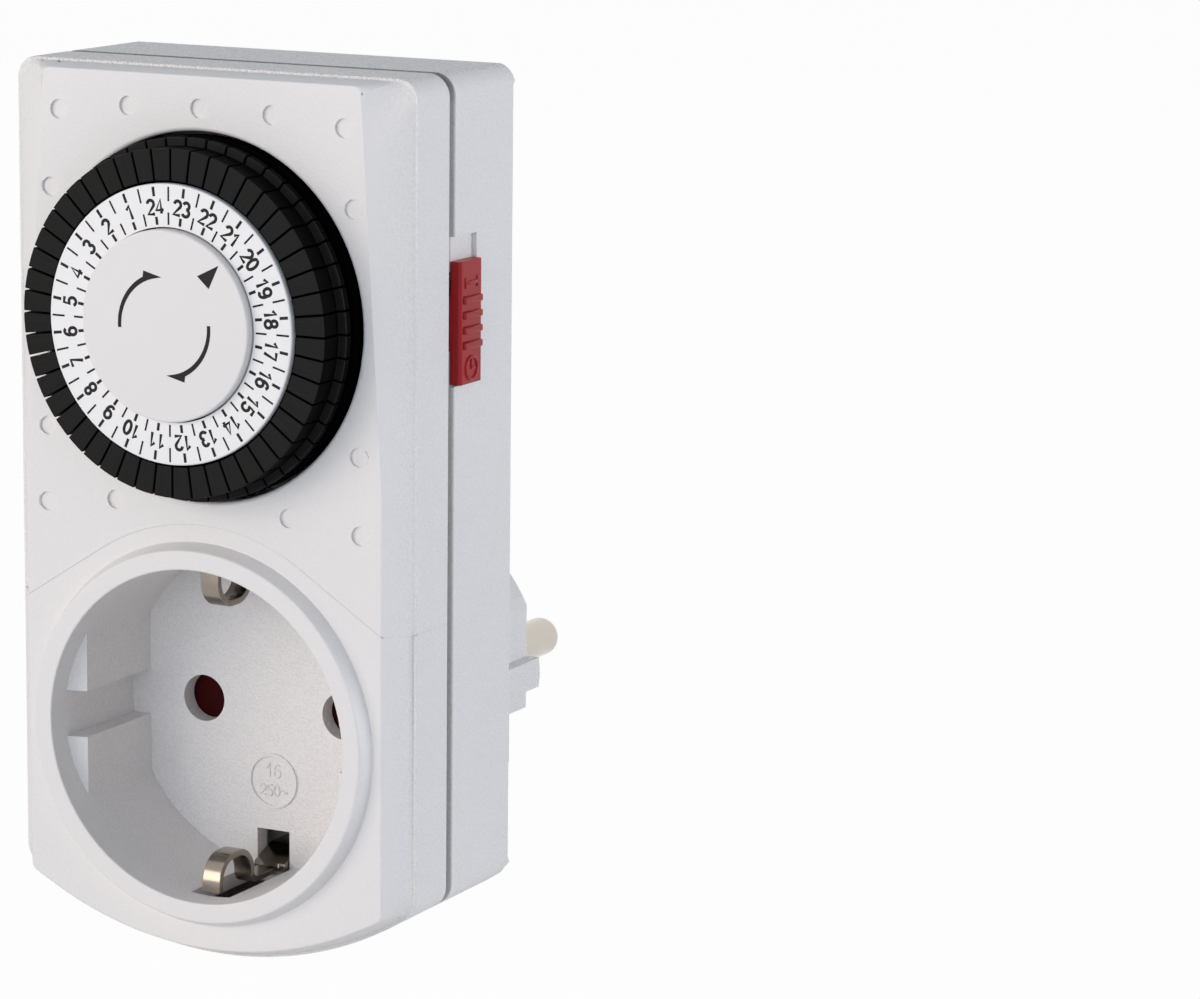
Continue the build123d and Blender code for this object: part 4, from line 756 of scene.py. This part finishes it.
# From y and z to y and z: the bar of the upper mark, its two feet, and the two hands of the clock.
mark_low_x, mark_high_x = 26.9, 27.4
raised_bars = [(-35.2, 52.52, -32.4, 52.92), (-35.35, 52.1, -34.95, 53.34), (-32.65, 52.1, -32.25, 53.34),
               (-33.95, 42.95, -33.7, 44.0), (-33.95, 42.83, -32.95, 43.08)]
clock_r, clock_stroke, clock_y, clock_z = 1.3, 0.4, -33.8, 42.95
marks = []
for low_y, low_z, high_y, high_z in raised_bars:
    low, high = Vector((mark_low_x, low_y, low_z)), Vector((mark_high_x, high_y, high_z))
    bpy.ops.mesh.primitive_cube_add(size=1)
    bar = bpy.context.object
    place_in_mesh(bar, Matrix.Translation((low + high) / 2 * mm) @ Matrix.Diagonal((*((high - low) * mm), 1)))
    rounding = bar.modifiers.new("rounded_edges", "BEVEL")
    rounding.width = mark_round * mm
    rounding.segments = 2
    only(bar)
    bpy.ops.object.modifier_apply(modifier="rounded_edges")
    marks.append(bar)
bpy.ops.mesh.primitive_torus_add(major_radius=clock_r * mm, minor_radius=clock_stroke / 2 * mm,
                                 major_segments=48, minor_segments=12)
clock = bpy.context.object
place_in_mesh(clock, Matrix.Translation(Vector((slider_face_x, clock_y, clock_z)) * mm)
              @ Matrix.Rotation(math.pi / 2, 4, "Y"))
marks.append(clock)
slider_marks = joined(marks, "slider_marks")
finish_as(slider_marks, red_abs)
only(slider_marks)
bpy.ops.object.shade_smooth_by_angle(angle=math.radians(round_tilt))
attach(slider_marks, "slider")

# ---------------------------------------------------------------- plug pins, strips and screws
# Pins turned from brass and nickel plated, a bright cream mirror; live and neutral strips of bare
# rolled spring brass, yellow with fine lines; zinc plated steel screws, dull grey.
nickel_pin = metal("turned_nickel_plated_pin", "#C9C2B8", 0.18, 0.05, (1, 0.5, 1), 0.001)
brass_strip = metal("rolled_spring_brass", "#C9A35A", 0.3, 0.08, (1, 10, 1), 0.002)
zinc_steel = metal("zinc_plated_steel", "#A9ACAE", 0.34, 0.1, (1, 1, 1), 0.003)
for name in ("plug_pin_neutral", "plug_pin_live"):
    finish_as(nodes[name], nickel_pin)
for name in ("neutral_busbar", "live_jaw", "live_busbar", "leaf_terminal", "fixed_contact", "contact_leaf"):
    finish_as(nodes[name], brass_strip)
for name in ("casing_screws", "plate_screws", "lever_pin", "clutch_axle"):
    finish_as(nodes[name], zinc_steel)

# ---------------------------------------------------------------- mechanism
# Grey glass filled plate with milky, waxy acetal gears, and a sealed synchronous motor: a silky
# tinned can, a coil lined with enamelled copper windings, and a dull dark ferrite magnet rotor.
white_acetal = moulded_plastic("moulded_white_acetal", "#EDEAE0", "#E6E3DA", 0.35, 0.4, 0.003)
tinned_steel = metal("tinned_drawn_steel", "#B4B7B9", 0.28, 0.12, (1, 6, 1), 0.002)
ferrite = moulded_plastic("pressed_ferrite", "#2B2B2D", "#353537", 0.55, 0.08, 0.006)
copper_coil = metal("enamelled_copper_winding", "#9C5A34", 0.34, 0.12, (4, 0.6, 4), 0.02)
for name, material in [("mechanism_plate", grey_polyamide), ("switch_base", grey_polyamide),
                       ("trip_lever", white_acetal), ("clutch_gear", white_acetal),
                       ("output_pinion", white_acetal), ("motor_gear_unit", grey_polyamide),
                       ("motor_can", tinned_steel), ("motor_coil", copper_coil), ("motor_rotor", ferrite)]:
    finish_as(nodes[name], material)
